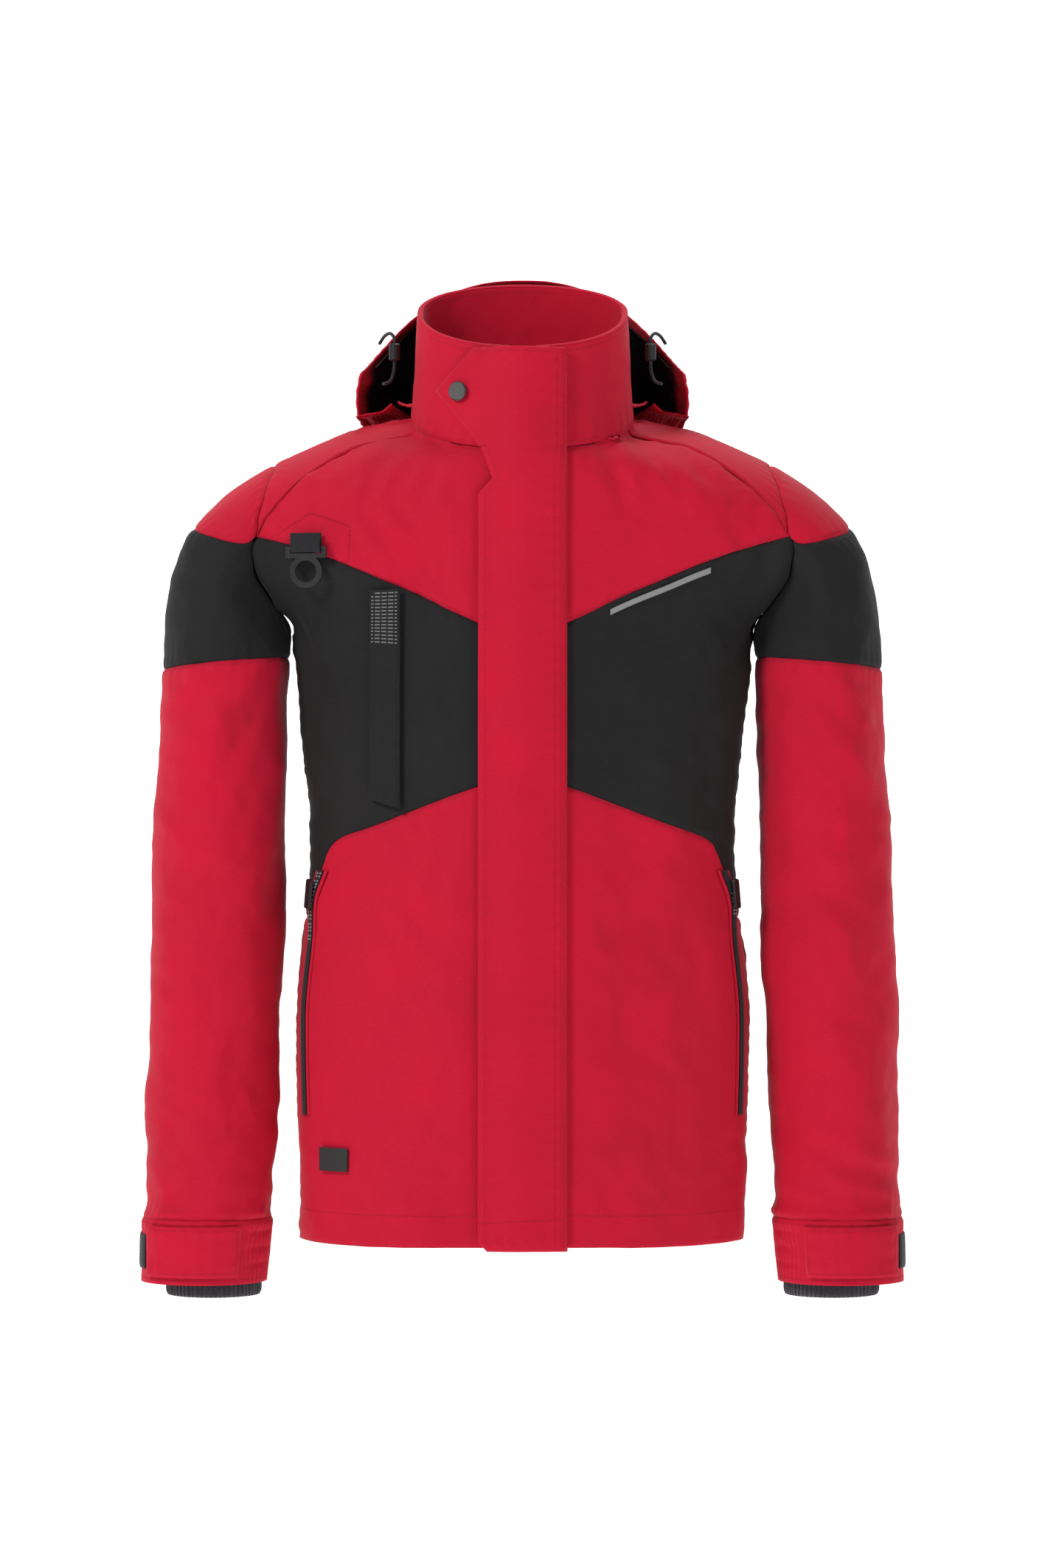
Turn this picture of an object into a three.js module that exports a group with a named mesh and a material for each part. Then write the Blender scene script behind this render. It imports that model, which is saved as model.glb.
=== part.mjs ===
// Foul weather jacket for sailing. Millimetres, +Z up, the front faces -Y, +X is the wearer's left.
// The drawing frame has its zero at the hem; the last lines move it so that the hanging loop is the origin.
import * as THREE from 'three';

// ---- body, in the drawing frame -----------------------------------------------------------------
const BODY_LENGTH = 715;          // hem to the side of the neck
const COLLAR_HEIGHT = 96;         // at the side of the neck
const HEM_HALF = 198;             // half widths of the body
const HIP_HALF = 203;
const WAIST_HALF = 190;
const CHEST_HALF = 201;
const ARMPIT_HALF = 207;
const SHOULDER_HALF = 293;        // widest level of the shoulders
const NECK_HALF = 98;
const COLLAR_HALF = 93;
const HIP_Z = 190;
const WAIST_Z = 330;
const CHEST_DROP = 255;           // neck to the chest
const ARMPIT_DROP = 185;          // neck to armpit
const SHOULDER_DROP = 103;        // neck to the widest level
const FRONT_DEPTH = 128;          // centre front, hem
const FRONT_LEAN = 0.0621;        // the centre front line leans back by this slope
const BACK_DEPTH = 118;
const BACK_WAIST_DEPTH = 112;
const BACK_NECK_DEPTH = 68;
const COLLAR_BACK_DEPTH = 62;
const NECK_TILT = 0.35;           // the neck seam rises to the back by this slope
const COLLAR_TILT = 0.475;
const BODY_SQUARENESS = 2.4;      // exponent of the section's superellipse
const COLLAR_SQUARENESS = 2.1;
const CHEST_Z = BODY_LENGTH - CHEST_DROP;
const ARMPIT_Z = BODY_LENGTH - ARMPIT_DROP;
const COLLAR_TOP = BODY_LENGTH + COLLAR_HEIGHT;

// ---- cloth --------------------------------------------------------------------------------------
const CLOTH = 2.4;                // shell cloth with its seam allowance
const LINING = 1.2;
const SEAM_GAP = 0.5;             // each panel stops this far from its seam line
const LAYER_GAP = 7;              // between the shell and what lies behind it

// ---- seams of the body --------------------------------------------------------------------------
const ZIP_TAPE = 9;
const ZIP_TO_PANEL = 2;
const SEAM_HALF = ZIP_TAPE + ZIP_TO_PANEL;            // centre front edges of the panels
const CHEST_SEAM_CENTRE = BODY_LENGTH - 311;          // lower seam of the black chest, at the centre front
const CHEST_SEAM_POCKET = 335;                        // and where it turns down at the pocket
const CHEST_SEAM_SIDE = 282;                          // and at the side
const POCKET_X = 173;
const YOKE_SEAM_CENTRE = BODY_LENGTH - 199;           // upper seam of the black chest, at the centre front
const RAGLAN_DROP = 96;           // neck to the point where raglan, yoke and armhole seams meet
const ARMHOLE_HALF = 238;         // armhole seam at its widest
const BACK_YOKE_Z = BODY_LENGTH - 115;
const BACK_CHEST_Z = 345;
const RAGLAN_NECK_ANGLE = 76;     // degrees round from the centre front

// ---- sleeves ------------------------------------------------------------------------------------
const BICEP_Z = BODY_LENGTH - 210; // lower edge of the black band
const CUFF_SEAM_Z = 17;
const CUFF_DEPTH = 56;
// The sleeves hang beside the armpit and the hip, each this far out from the body's half width there.
const BICEP = { x: ARMPIT_HALF + 57.5, y: 5, halfWidth: 55.5, halfDepth: 76 };
const ELBOW = { x: HIP_HALF + 69, y: -4, halfWidth: 59, halfDepth: 68 };
const WRIST = { x: HIP_HALF + 73.5, y: -15, halfWidth: 57, halfDepth: 54 };
const CUFF_END = { x: HIP_HALF + 76.5, y: -16, halfWidth: 55, halfDepth: 51 };
const ELBOW_Z = 281;
const INNER_CUFF = { x: HIP_HALF + 68, y: -16, halfWidth: 41, halfDepth: 38, top: -12, bottom: -51 };
const CAP_HEIGHT = 0.42;          // share of the shoulder curve that the red cap covers
const SLEEVE_GAP = 1.2;

// ---- closures -----------------------------------------------------------------------------------
const FLAP_SEWN_X = 36;
const FLAP_FREE_X = -38;
const FLAP_TAB_X = -72;
const FLAP_BOTTOM_Z = -3;
const FLAP_EDGE_LIFT = 4;         // flap above the panels at its edges
const FLAP_LIFT = 9;              // and over the zip
const TAB_TIP_Z = BODY_LENGTH + 22;
const TAB_ROOT_Z = BODY_LENGTH - 69;
const SNAP_X = -52;
const SNAP_RADIUS = 8.5;
const ZIP_BEAD = 2;
const ZIP_TOP = BODY_LENGTH + 49;
const ZIP_BOTTOM = 22;

const SIDES = [['right', -1], ['left', 1]];
const CLEAR = 0.4;

const jacket = new THREE.Group(); // drawn with its zero at the hem

// ---- finishes -----------------------------------------------------------------------------------
function finish(color, roughness, metalness = 0) {
  return { color, roughness, metalness };
}
const RED = finish(0xc5122f, 0.72);
const DARK_RED = finish(0xb50d2b, 0.78);
const BLACK = finish(0x262525, 0.75);
const KNIT = finish(0x343337, 0.9);
const BLACK_PLASTIC = finish(0x1c1c1d, 0.45);
const SILVER_PRINT = finish(0x878787, 0.35);
const GUNMETAL = finish(0x52504f, 0.4, 0.8);
const RUBBER = finish(0x222223, 0.55);

function place(name, geometry, look, parent = jacket) {
  geometry.computeVertexNormals();
  const mesh = new THREE.Mesh(geometry, new THREE.MeshStandardMaterial(look));
  mesh.name = name;
  parent.add(mesh);
  return mesh;
}

// ---- smooth values through a few points ---------------------------------------------------------
function curveThrough(points) {
  const last = points.length - 1;
  const rise = points.slice(1).map(([x, y], i) => (y - points[i][1]) / (x - points[i][0]));
  const slope = points.map((_, i) => {
    if (i === 0) return rise[0];
    if (i === last) return rise[last - 1];
    if (rise[i - 1] * rise[i] <= 0) return 0;
    return (2 * rise[i - 1] * rise[i]) / (rise[i - 1] + rise[i]);
  });
  return (x) => {
    let i = 0;
    while (i < last - 1 && x > points[i + 1][0]) i += 1;
    const [x0, y0] = points[i];
    const [x1, y1] = points[i + 1];
    const step = x1 - x0;
    const t = THREE.MathUtils.clamp((x - x0) / step, 0, 1);
    const s = t - 1;
    return (1 + 2 * t) * s * s * y0 + t * s * s * step * slope[i]
      + t * t * (3 - 2 * t) * y1 + t * t * s * step * slope[i + 1];
  };
}

const mix = THREE.MathUtils.lerp;
const radians = THREE.MathUtils.degToRad;
const degrees = THREE.MathUtils.radToDeg;

// ---- the body's surface: sections stacked by height ---------------------------------------------
const shoulderLevel = BODY_LENGTH - SHOULDER_DROP;
const halfWidth = curveThrough([
  [0, HEM_HALF], [HIP_Z, HIP_HALF], [WAIST_Z, WAIST_HALF], [CHEST_Z, CHEST_HALF],
  [ARMPIT_Z, ARMPIT_HALF], [shoulderLevel, SHOULDER_HALF],
  [BODY_LENGTH - 83, SHOULDER_HALF - 9], [BODY_LENGTH - 64, SHOULDER_HALF - 29],
  [BODY_LENGTH - 44, SHOULDER_HALF - 59], [BODY_LENGTH - 25, SHOULDER_HALF - 98],
  [BODY_LENGTH - 10, SHOULDER_HALF - 138], [BODY_LENGTH, NECK_HALF], [COLLAR_TOP, COLLAR_HALF],
]);
const tilt = curveThrough([
  [0, 0], [shoulderLevel - 52, 0], [BODY_LENGTH, NECK_TILT], [COLLAR_TOP, COLLAR_TILT],
]);
const squareness = curveThrough([
  [0, BODY_SQUARENESS], [BODY_LENGTH - 25, BODY_SQUARENESS], [BODY_LENGTH, COLLAR_SQUARENESS],
  [COLLAR_TOP, COLLAR_SQUARENESS],
]);
const backDepth = curveThrough([
  [0, BACK_DEPTH], [HIP_Z, BACK_DEPTH + 2], [WAIST_Z, BACK_WAIST_DEPTH], [CHEST_Z, BACK_DEPTH + 2],
  [shoulderLevel - 52, BACK_DEPTH + 2], [shoulderLevel, BACK_DEPTH - 4],
  [BODY_LENGTH - 44, BACK_DEPTH - 22], [BODY_LENGTH, BACK_NECK_DEPTH], [COLLAR_TOP, COLLAR_BACK_DEPTH],
]);

function frontDepth(h) {
  return (FRONT_DEPTH - FRONT_LEAN * h) / (1 - FRONT_LEAN * tilt(h));
}

// A point of the surface. angle: degrees round from the centre front, 90 at the wearer's left side.
function surface(angle, h) {
  const power = 2 / squareness(h);
  const s = Math.sin(radians(angle));
  const c = Math.cos(radians(angle));
  const x = halfWidth(h) * Math.sign(s) * Math.abs(s) ** power;
  const depth = c > 0 ? frontDepth(h) : backDepth(h);
  const y = -depth * Math.sign(c) * Math.abs(c) ** power;
  return new THREE.Vector3(x, y, h + tilt(h) * y);
}

// The outward normal, from points on the same side of the neck seam.
function surfaceNormal(angle, h) {
  const low = h > BODY_LENGTH ? Math.max(h - 2, BODY_LENGTH) : h - 2;
  const high = h > BODY_LENGTH ? h + 2 : Math.min(h + 2, BODY_LENGTH);
  const along = surface(angle + 2, h).sub(surface(angle - 2, h));
  const up = surface(angle, Math.min(high, COLLAR_TOP)).sub(surface(angle, low));
  return along.cross(up).normalize();
}

function lifted(angle, h, lift) {
  return surface(angle, h).addScaledVector(surfaceNormal(angle, h), lift);
}

function angleOf(x, h) {
  const share = Math.min(1, Math.abs(x) / halfWidth(h));
  return Math.sign(x) * degrees(Math.asin(share ** (squareness(h) / 2)));
}

// The [angle, height] of the front surface's point at (x, z).
function frontAt(x, z) {
  let low = z - 5;
  let high = Math.min(z + 90, COLLAR_TOP);
  for (let i = 0; i < 40; i += 1) {
    const h = (low + high) / 2;
    const outside = h > shoulderLevel && Math.abs(x) >= halfWidth(h);
    if (outside || surface(angleOf(x, h), h).z > z) high = h;
    else low = h;
  }
  return [angleOf(x, low), low];
}

// ---- closed sheets from grids -------------------------------------------------------------------
// rows: a list of rows of points on the outer side. The sheet's thickness goes to the inner side.
function gridNormals(rows, closed) {
  return rows.map((row, j) => row.map((_, i) => {
    const n = row.length;
    const right = closed ? row[(i + 1) % n] : row[Math.min(i + 1, n - 1)];
    const left = closed ? row[(i + n - 1) % n] : row[Math.max(i - 1, 0)];
    const above = rows[Math.min(j + 1, rows.length - 1)][i];
    const below = rows[Math.max(j - 1, 0)][i];
    return right.clone().sub(left).cross(above.clone().sub(below)).normalize();
  }));
}

function sunk(rows, depth, closed = false) {
  const normals = gridNormals(rows, closed);
  return rows.map((row, j) => row.map((p, i) => p.clone().addScaledVector(normals[j][i], -depth)));
}

const sheet = (rows, thickness, closed = false) => shell(rows, sunk(rows, thickness, closed), closed);

// Joins an outer and an inner grid into one closed solid.
function shell(outer, inner, closed) {
  const height = outer.length;
  const width = outer[0].length;
  const points = [...outer.flat(), ...inner.flat()];
  const at = (layer, j, i) => layer * height * width + j * width + (i % width);
  const triangles = [];
  const quad = (a, b, c, d) => triangles.push(a, b, c, a, c, d);
  const across = closed ? width : width - 1;
  for (let j = 0; j < height - 1; j += 1) {
    for (let i = 0; i < across; i += 1) {
      quad(at(0, j, i), at(0, j, i + 1), at(0, j + 1, i + 1), at(0, j + 1, i));
      quad(at(1, j, i), at(1, j + 1, i), at(1, j + 1, i + 1), at(1, j, i + 1));
    }
  }
  for (let i = 0; i < across; i += 1) {
    const top = height - 1;
    quad(at(0, 0, i), at(1, 0, i), at(1, 0, i + 1), at(0, 0, i + 1));
    quad(at(0, top, i), at(0, top, i + 1), at(1, top, i + 1), at(1, top, i));
  }
  if (!closed) {
    const side = width - 1;
    for (let j = 0; j < height - 1; j += 1) {
      quad(at(0, j, 0), at(0, j + 1, 0), at(1, j + 1, 0), at(1, j, 0));
      quad(at(0, j, side), at(1, j, side), at(1, j + 1, side), at(0, j + 1, side));
    }
  }
  return facingOut(points, triangles);
}

function facingOut(points, triangles) {
  let volume = 0;
  for (let k = 0; k < triangles.length; k += 3) {
    const [a, b, c] = [points[triangles[k]], points[triangles[k + 1]], points[triangles[k + 2]]];
    volume += a.dot(b.clone().cross(c));
  }
  const faces = volume > 0 ? triangles : [...triangles].reverse();
  const geometry = new THREE.BufferGeometry();
  const numbers = points.flatMap((p) => [p.x, p.y, p.z]);
  geometry.setAttribute('position', new THREE.Float32BufferAttribute(numbers, 3));
  geometry.setIndex(faces);
  return geometry;
}

// Pulls the named edges of a grid inwards by a gap.
function inset(rows, gap, edges = 'bottom top left right') {
  const moved = rows.map((row) => row.map((p) => p.clone()));
  const last = rows.length - 1;
  const pull = (p, towards) => p.add(towards.clone().sub(p).setLength(gap));
  if (edges.includes('bottom')) moved[0].forEach((p, i) => pull(p, rows[1][i]));
  if (edges.includes('top')) moved[last].forEach((p, i) => pull(p, rows[last - 1][i]));
  if (edges.includes('left')) moved.forEach((row) => pull(row[0], row[1]));
  if (edges.includes('right')) moved.forEach((row) => pull(row[row.length - 1], row[row.length - 2]));
  return moved;
}

// Turns a solid made for the wearer's left into the one for the right.
function sided(geometry, sign) {
  if (sign > 0) return geometry;
  const position = geometry.getAttribute('position');
  for (let i = 0; i < position.count; i += 1) position.setX(i, -position.getX(i));
  geometry.setIndex([...geometry.getIndex().array].reverse());
  return geometry;
}

// A list of steps + 1 values from 0 to 1.
const shares = (steps) => Array.from({ length: steps + 1 }, (_, i) => i / steps);

// Fills the space between four edge lists of [angle, height] pairs. Rows keep pace with the right edge.
function between(bottom, top, left, right) {
  const rise = right.at(-1)[1] - right[0][1];
  return left.map((_, j) => bottom.map((__, i) => {
    const u = i / (bottom.length - 1);
    const v = (right[j][1] - right[0][1]) / rise;
    return [0, 1].map((k) => mix(bottom[i][k], top[i][k], v) + mix(left[j][k], right[j][k], u)
      - mix(mix(bottom[0][k], bottom.at(-1)[k], u), mix(top[0][k], top.at(-1)[k], u), v));
  }));
}

const onSurface = (grid, lift = 0) => grid.map((row) => row.map(([a, h]) => lifted(a, h, lift)));

// ---- seam lines, as lists of [angle, height] on the wearer's left half --------------------------
const SEAM_STEPS = 10;
const LOWER_ROWS = 8;
const SIDE_STEPS = 5;
const LOWER_ARMHOLE_STEPS = 5;
const UPPER_ARMHOLE_STEPS = 4;
const raglanLevel = BODY_LENGTH - RAGLAN_DROP;
const armholeTop = BODY_LENGTH - 37;

// Half width of the armhole seam as a share of the section's half width.
const armholeShare = curveThrough([
  [ARMPIT_Z, 1], [ARMPIT_Z + 20, 0.975], [ARMPIT_Z + 45, 0.905],
  [shoulderLevel - 12, ARMHOLE_HALF / halfWidth(shoulderLevel - 12)],
  [raglanLevel, (ARMHOLE_HALF - 3) / halfWidth(raglanLevel)],
  [raglanLevel + 31, 0.87], [armholeTop, 1],
]);

function armholeHeight(share) {
  const corner = LOWER_ARMHOLE_STEPS / (LOWER_ARMHOLE_STEPS + UPPER_ARMHOLE_STEPS);
  if (share < corner) {
    return mix(ARMPIT_Z, raglanLevel, 1 - Math.cos((share / corner) * (Math.PI / 2)));
  }
  return mix(raglanLevel, armholeTop, Math.sin(((share - corner) / (1 - corner)) * (Math.PI / 2)));
}

// Front half of the armhole: share 0 at the armpit, 1 on top of the shoulder.
function armholeFront(share) {
  const h = armholeHeight(share);
  return [degrees(Math.asin(Math.min(1, armholeShare(h)) ** (squareness(h) / 2))), h];
}

const armhole = shares(LOWER_ARMHOLE_STEPS + UPPER_ARMHOLE_STEPS).map(armholeFront);
const lowerArmhole = armhole.slice(0, LOWER_ARMHOLE_STEPS + 1);
const upperArmhole = armhole.slice(LOWER_ARMHOLE_STEPS);
const corner = armhole[LOWER_ARMHOLE_STEPS];
const toBack = (line) => line.map(([a, h]) => [180 - a, h]);
const toRight = (line) => line.map(([a, h]) => [360 - a, h]);

const raglan = shares(6).map((t) => {
  const s = 1 - (1 - t) ** 1.5;
  return [mix(corner[0], RAGLAN_NECK_ANGLE, s ** 2.2), mix(raglanLevel, BODY_LENGTH, s)];
});

function yokeSeam() {
  const end = surface(...corner);
  const slope = 0.485;
  const miss = end.z - (YOKE_SEAM_CENTRE + slope * end.x);
  const line = shares(SEAM_STEPS).map((t) => {
    const x = mix(SEAM_HALF, end.x, t);
    return frontAt(x, YOKE_SEAM_CENTRE + slope * x + miss * t ** 3);
  });
  line[SEAM_STEPS] = corner;
  return line;
}

function chestSeam() {
  const z = (x) => CHEST_SEAM_CENTRE - 0.25 * x - 0.0005 * x * x;
  const front = shares(5).map((t) => {
    const x = mix(SEAM_HALF, POCKET_X - 5, t);
    return frontAt(x, z(x));
  });
  const turn = frontAt(POCKET_X + 2, CHEST_SEAM_POCKET);
  const low = CHEST_SEAM_SIDE;
  return [...front, turn, [mix(turn[0], 74, 0.7), low + 20], [75, low + 3], [82, low], [90, low]];
}

// Points on the line at x beside the centre front that keep pace with an edge's heights.
function centreFront(x, low, high, pace) {
  const rise = pace.at(-1)[1] - pace[0][1];
  return pace.map(([, level]) => {
    const h = mix(low, high, (level - pace[0][1]) / rise);
    return [angleOf(x, h), h];
  });
}
const sideLine = (low, high, steps) => shares(steps).map((t) => [90, mix(low, high, t)]);
const yokeLine = yokeSeam();
const chestLine = chestSeam();
const armholeSide = [...sideLine(CHEST_SEAM_SIDE, ARMPIT_Z, SIDE_STEPS), ...lowerArmhole.slice(1)];

// ---- body panels --------------------------------------------------------------------------------
// A panel follows the body at a lift, and its thickness goes inwards.
function layer(grid, lift, thickness, gap) {
  return shell(inset(onSurface(grid, lift), gap), inset(onSurface(grid, lift - thickness), gap), false);
}

const panel = (grid) => layer(grid, 0, CLOTH, SEAM_GAP);

function frontPanels(name, sign) {
  const side = sideLine(0, CHEST_SEAM_SIDE, LOWER_ROWS);
  const hem = chestLine.map(([a]) => [a, 0]);
  hem[0] = [angleOf(SEAM_HALF, 0), 0];
  const neckStart = angleOf(SEAM_HALF, BODY_LENGTH);
  const neck = shares(SEAM_STEPS).map((t) => [mix(neckStart, RAGLAN_NECK_ANGLE, t), BODY_LENGTH]);
  const [chestStart, yokeStart] = [chestLine[0][1], yokeLine[0][1]];
  const lower = between(hem, chestLine, centreFront(SEAM_HALF, 0, chestStart, side), side);
  const chestEdge = centreFront(SEAM_HALF, chestStart, yokeStart, armholeSide);
  const chest = between(chestLine, yokeLine, chestEdge, armholeSide);
  const yoke = between(yokeLine, neck, centreFront(SEAM_HALF, yokeStart, BODY_LENGTH, raglan), raglan);
  place(`front_lower_${name}`, sided(panel(lower), sign), RED);
  place(`front_chest_${name}`, sided(panel(chest), sign), BLACK);
  place(`front_yoke_${name}`, sided(panel(yoke), sign), RED);
}

// The shoulder panel lies between the front and back raglan seams, out to the armhole.
function shoulderPanel(side, sign) {
  const neck = shares(2 * UPPER_ARMHOLE_STEPS).map((t) => [
    mix(RAGLAN_NECK_ANGLE, 180 - RAGLAN_NECK_ANGLE, t), BODY_LENGTH]);
  const outer = [...upperArmhole, ...toBack(upperArmhole).reverse().slice(1)];
  const grid = between(outer, neck, raglan, toBack(raglan));
  place(`shoulder_${side}`, sided(panel(grid), sign), RED);
}

function backPanels() {
  const steps = 16;
  const across = (start, low, middle) => shares(steps).map((t) => [
    mix(start, 360 - start, t), mix(low, middle, Math.sin(Math.PI * t) ** 2)]);
  const hem = across(90, 0, 0);
  const chest = across(90, CHEST_SEAM_SIDE, BACK_CHEST_Z);
  const yoke = across(180 - corner[0], raglanLevel, BACK_YOKE_Z);
  const neck = across(180 - RAGLAN_NECK_ANGLE, BODY_LENGTH, BODY_LENGTH);
  const side = sideLine(0, CHEST_SEAM_SIDE, LOWER_ROWS);
  const middleSide = toBack(armholeSide);
  const yokeSide = toBack(raglan);
  place('back_lower', panel(between(hem, chest, side, toRight(side))), RED);
  place('back_middle', panel(between(chest, yoke, middleSide, toRight(middleSide))), BLACK);
  place('back_yoke', panel(between(yoke, neck, yokeSide, toRight(yokeSide))), RED);
}

// ---- lining: front right, front left and back, with open armholes -------------------------------
const LINING_DEPTH = CLOTH + LAYER_GAP;
const LINING_FRONT_X = 34;
const LINING_HEM = 14;

function linings() {
  const edge = [...sideLine(LINING_HEM, ARMPIT_Z, 7), ...lowerArmhole.slice(1), ...raglan.slice(1)];
  const steps = 7;
  const neckStart = angleOf(LINING_FRONT_X, BODY_LENGTH);
  const hemStart = angleOf(LINING_FRONT_X, LINING_HEM);
  const neck = shares(steps).map((t) => [mix(neckStart, RAGLAN_NECK_ANGLE, t), BODY_LENGTH]);
  const hem = shares(steps).map((t) => [mix(hemStart, 90, t), LINING_HEM]);
  const front = between(hem, neck, centreFront(LINING_FRONT_X, LINING_HEM, BODY_LENGTH, edge), edge);
  const ring = (start, h) => shares(2 * steps).map((t) => [mix(start, 360 - start, t), h]);
  const backEdge = toBack(edge);
  const backNeck = ring(180 - RAGLAN_NECK_ANGLE, BODY_LENGTH);
  const back = between(ring(90, LINING_HEM), backNeck, backEdge, toRight(backEdge));
  const lining = (grid) => layer(grid, -LINING_DEPTH, LINING, 2);
  SIDES.forEach(([side, sign]) => place(`lining_${side}`, sided(lining(front), sign), BLACK));
  place('lining_back', lining(back), BLACK);
}

// ---- collar -------------------------------------------------------------------------------------
const FACING_DEPTH = CLOTH + 1;
const NECK_GAP = 2.8;

function collar() {
  const steps = 24;
  const edge = angleOf(SEAM_HALF, BODY_LENGTH + 1);
  const ring = shares(4).map((v) => shares(steps).map((t) => [
    mix(edge, 360 - edge, t), mix(BODY_LENGTH + NECK_GAP, COLLAR_TOP, v)]));
  place('collar_outer', panel(ring), RED);
  place('collar_facing', layer(ring, -FACING_DEPTH, CLOTH, SEAM_GAP), DARK_RED);
}

// ---- strips that lie on the body ----------------------------------------------------------------
// path: [angle, height] pairs. lift: gap between the body and the strip's inner side.
function strip(path, width, lift, thickness, columns = 1) {
  const rows = path.map(([a, h]) => {
    const perMillimetre = 2 / surface(a + 1, h).distanceTo(surface(a - 1, h));
    return shares(columns).map((t) => lifted(a + (t - 0.5) * width * perMillimetre, h, lift + thickness));
  });
  return sheet(rows, thickness);
}

const STRIP_LIFT = 0.8;
const POCKET = { top: 322, bottom: 110, angle: 71, topAngle: 66.5, bend: 285, tape: 8 };
const pocketAngle = curveThrough([[POCKET.bottom, POCKET.angle], [POCKET.bend, POCKET.angle + 0.5],
  [POCKET.top, POCKET.topAngle]]);
const pocketPath = shares(10).map((t) => {
  const h = mix(POCKET.top, POCKET.bottom, t);
  return [pocketAngle(h), h];
});
const BAG = { front: 34, back: 64, top: 318, bottom: 118, thickness: 2.4 };

function handPocket(side, sign) {
  place(`pocket_zip_${side}`, sided(strip(pocketPath, POCKET.tape, STRIP_LIFT, 1.4), sign), BLACK_PLASTIC);
  const bagLift = -(LINING_DEPTH + LINING + LAYER_GAP);
  const bag = shares(5).map((v) => shares(5).map((u) => [
    mix(BAG.front, BAG.back, u), mix(BAG.bottom, BAG.top, v)]));
  place(`pocket_bag_${side}`, sided(sheet(onSurface(bag, bagLift), BAG.thickness), sign), BLACK);
}

// Turns and moves a piece drawn facing -Y so that it faces out of the body at an [angle, height].
function setOnBody(mesh, [a, h], lift) {
  const normal = surfaceNormal(a, h);
  const up = new THREE.Vector3(0, 0, 1).addScaledVector(normal, -normal.z).normalize();
  const across = new THREE.Vector3().crossVectors(up, normal);
  mesh.quaternion.setFromRotationMatrix(new THREE.Matrix4().makeBasis(across, normal.clone().negate(), up));
  mesh.position.copy(lifted(a, h, lift));
}

// ---- outlines drawn in X and Z ------------------------------------------------------------------
// A rectangle with round corners, centred at (x, z).
function roundedBox(Kind, x, z, width, height, radius) {
  const [w, h, r] = [width / 2, height / 2, radius];
  const outline = new Kind();
  outline.absarc(x + w - r, z - h + r, r, -Math.PI / 2, 0);
  outline.absarc(x + w - r, z + h - r, r, 0, Math.PI / 2);
  outline.absarc(x - w + r, z + h - r, r, Math.PI / 2, Math.PI);
  outline.absarc(x - w + r, z - h + r, r, Math.PI, Math.PI * 1.5);
  return outline;
}

// Extrudes an outline along Y, centred on Y = 0.
function extruded(shape, thickness, curveSegments = 3) {
  const geometry = new THREE.ExtrudeGeometry(shape, { depth: thickness, bevelEnabled: false, curveSegments });
  geometry.translate(0, 0, -thickness / 2);
  geometry.rotateX(Math.PI / 2);
  return geometry;
}

// A turned piece whose axis points along -Y. profile: [radius, distance forward] pairs.
function turned(profile, segments = 16) {
  const geometry = new THREE.LatheGeometry(profile.map(([r, y]) => new THREE.Vector2(r, y)), segments);
  geometry.rotateX(Math.PI);
  return geometry;
}

// ---- main zip, slider and puller ----------------------------------------------------------------
// The centre front line leans back; pieces on it are drawn upright and then leaned.
const leanAngle = Math.atan(FRONT_LEAN);
const centreLine = new THREE.Group();
centreLine.position.set(0, -FRONT_DEPTH, 0);
centreLine.rotation.x = -leanAngle;
jacket.add(centreLine);

const BEAD_THICKNESS = 4;
const SLIDER = { width: 11, length: 14, plate: 1.6, top: ZIP_TOP - 13 };
const PULLER = { width: 6, length: 32, thickness: 1.6 };
const UNDER_FLAP = { width: 60, thickness: 1.6, depth: 8, top: BODY_LENGTH - 47, bottom: 12 };

function mainZip() {
  const length = ZIP_TOP - ZIP_BOTTOM;
  const middle = (ZIP_TOP + ZIP_BOTTOM) / 2;
  SIDES.forEach(([side, sign]) => {
    const half = BEAD_THICKNESS / 2;
    const inner = CLEAR + 0.5;
    const shape = new THREE.Shape();
    shape.moveTo(inner, -half);
    shape.lineTo(inner + ZIP_BEAD, -half);
    shape.lineTo(inner + ZIP_BEAD, -0.6);
    shape.lineTo(inner + ZIP_TAPE, -0.6);
    shape.lineTo(inner + ZIP_TAPE, 0.6);
    shape.lineTo(inner + ZIP_BEAD, 0.6);
    shape.lineTo(inner + ZIP_BEAD, half);
    shape.lineTo(inner, half);
    const tape = new THREE.ExtrudeGeometry(shape, { depth: length, bevelEnabled: false });
    tape.translate(0, CLOTH / 2, middle - length / 2);
    if (sign < 0) tape.rotateZ(Math.PI).translate(0, CLOTH, 0);
    place(`zip_tape_${side}`, tape, BLACK, centreLine);
  });
  const flap = extruded(roundedBox(THREE.Shape, 0, (UNDER_FLAP.top + UNDER_FLAP.bottom) / 2,
    UNDER_FLAP.width, UNDER_FLAP.top - UNDER_FLAP.bottom, 6), UNDER_FLAP.thickness);
  flap.translate(0, UNDER_FLAP.depth, 0);
  place('under_flap', flap, BLACK, centreLine);
}

// Two plates joined by a thin post between the two zip chains.
function slider(length, width, gap, plate) {
  const shape = new THREE.Shape();
  const [w, g, p, q] = [width / 2, gap / 2, plate, 0.4];
  [[-w, g], [-w, g + p], [w, g + p], [w, g], [q, g], [q, -g], [w, -g], [w, -g - p], [-w, -g - p], [-w, -g],
    [-q, -g], [-q, g]].forEach(([x, y], i) => (i ? shape.lineTo(x, y) : shape.moveTo(x, y)));
  const geometry = new THREE.ExtrudeGeometry(shape, { depth: length, bevelEnabled: false });
  return geometry.translate(0, 0, -length / 2);
}

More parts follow.
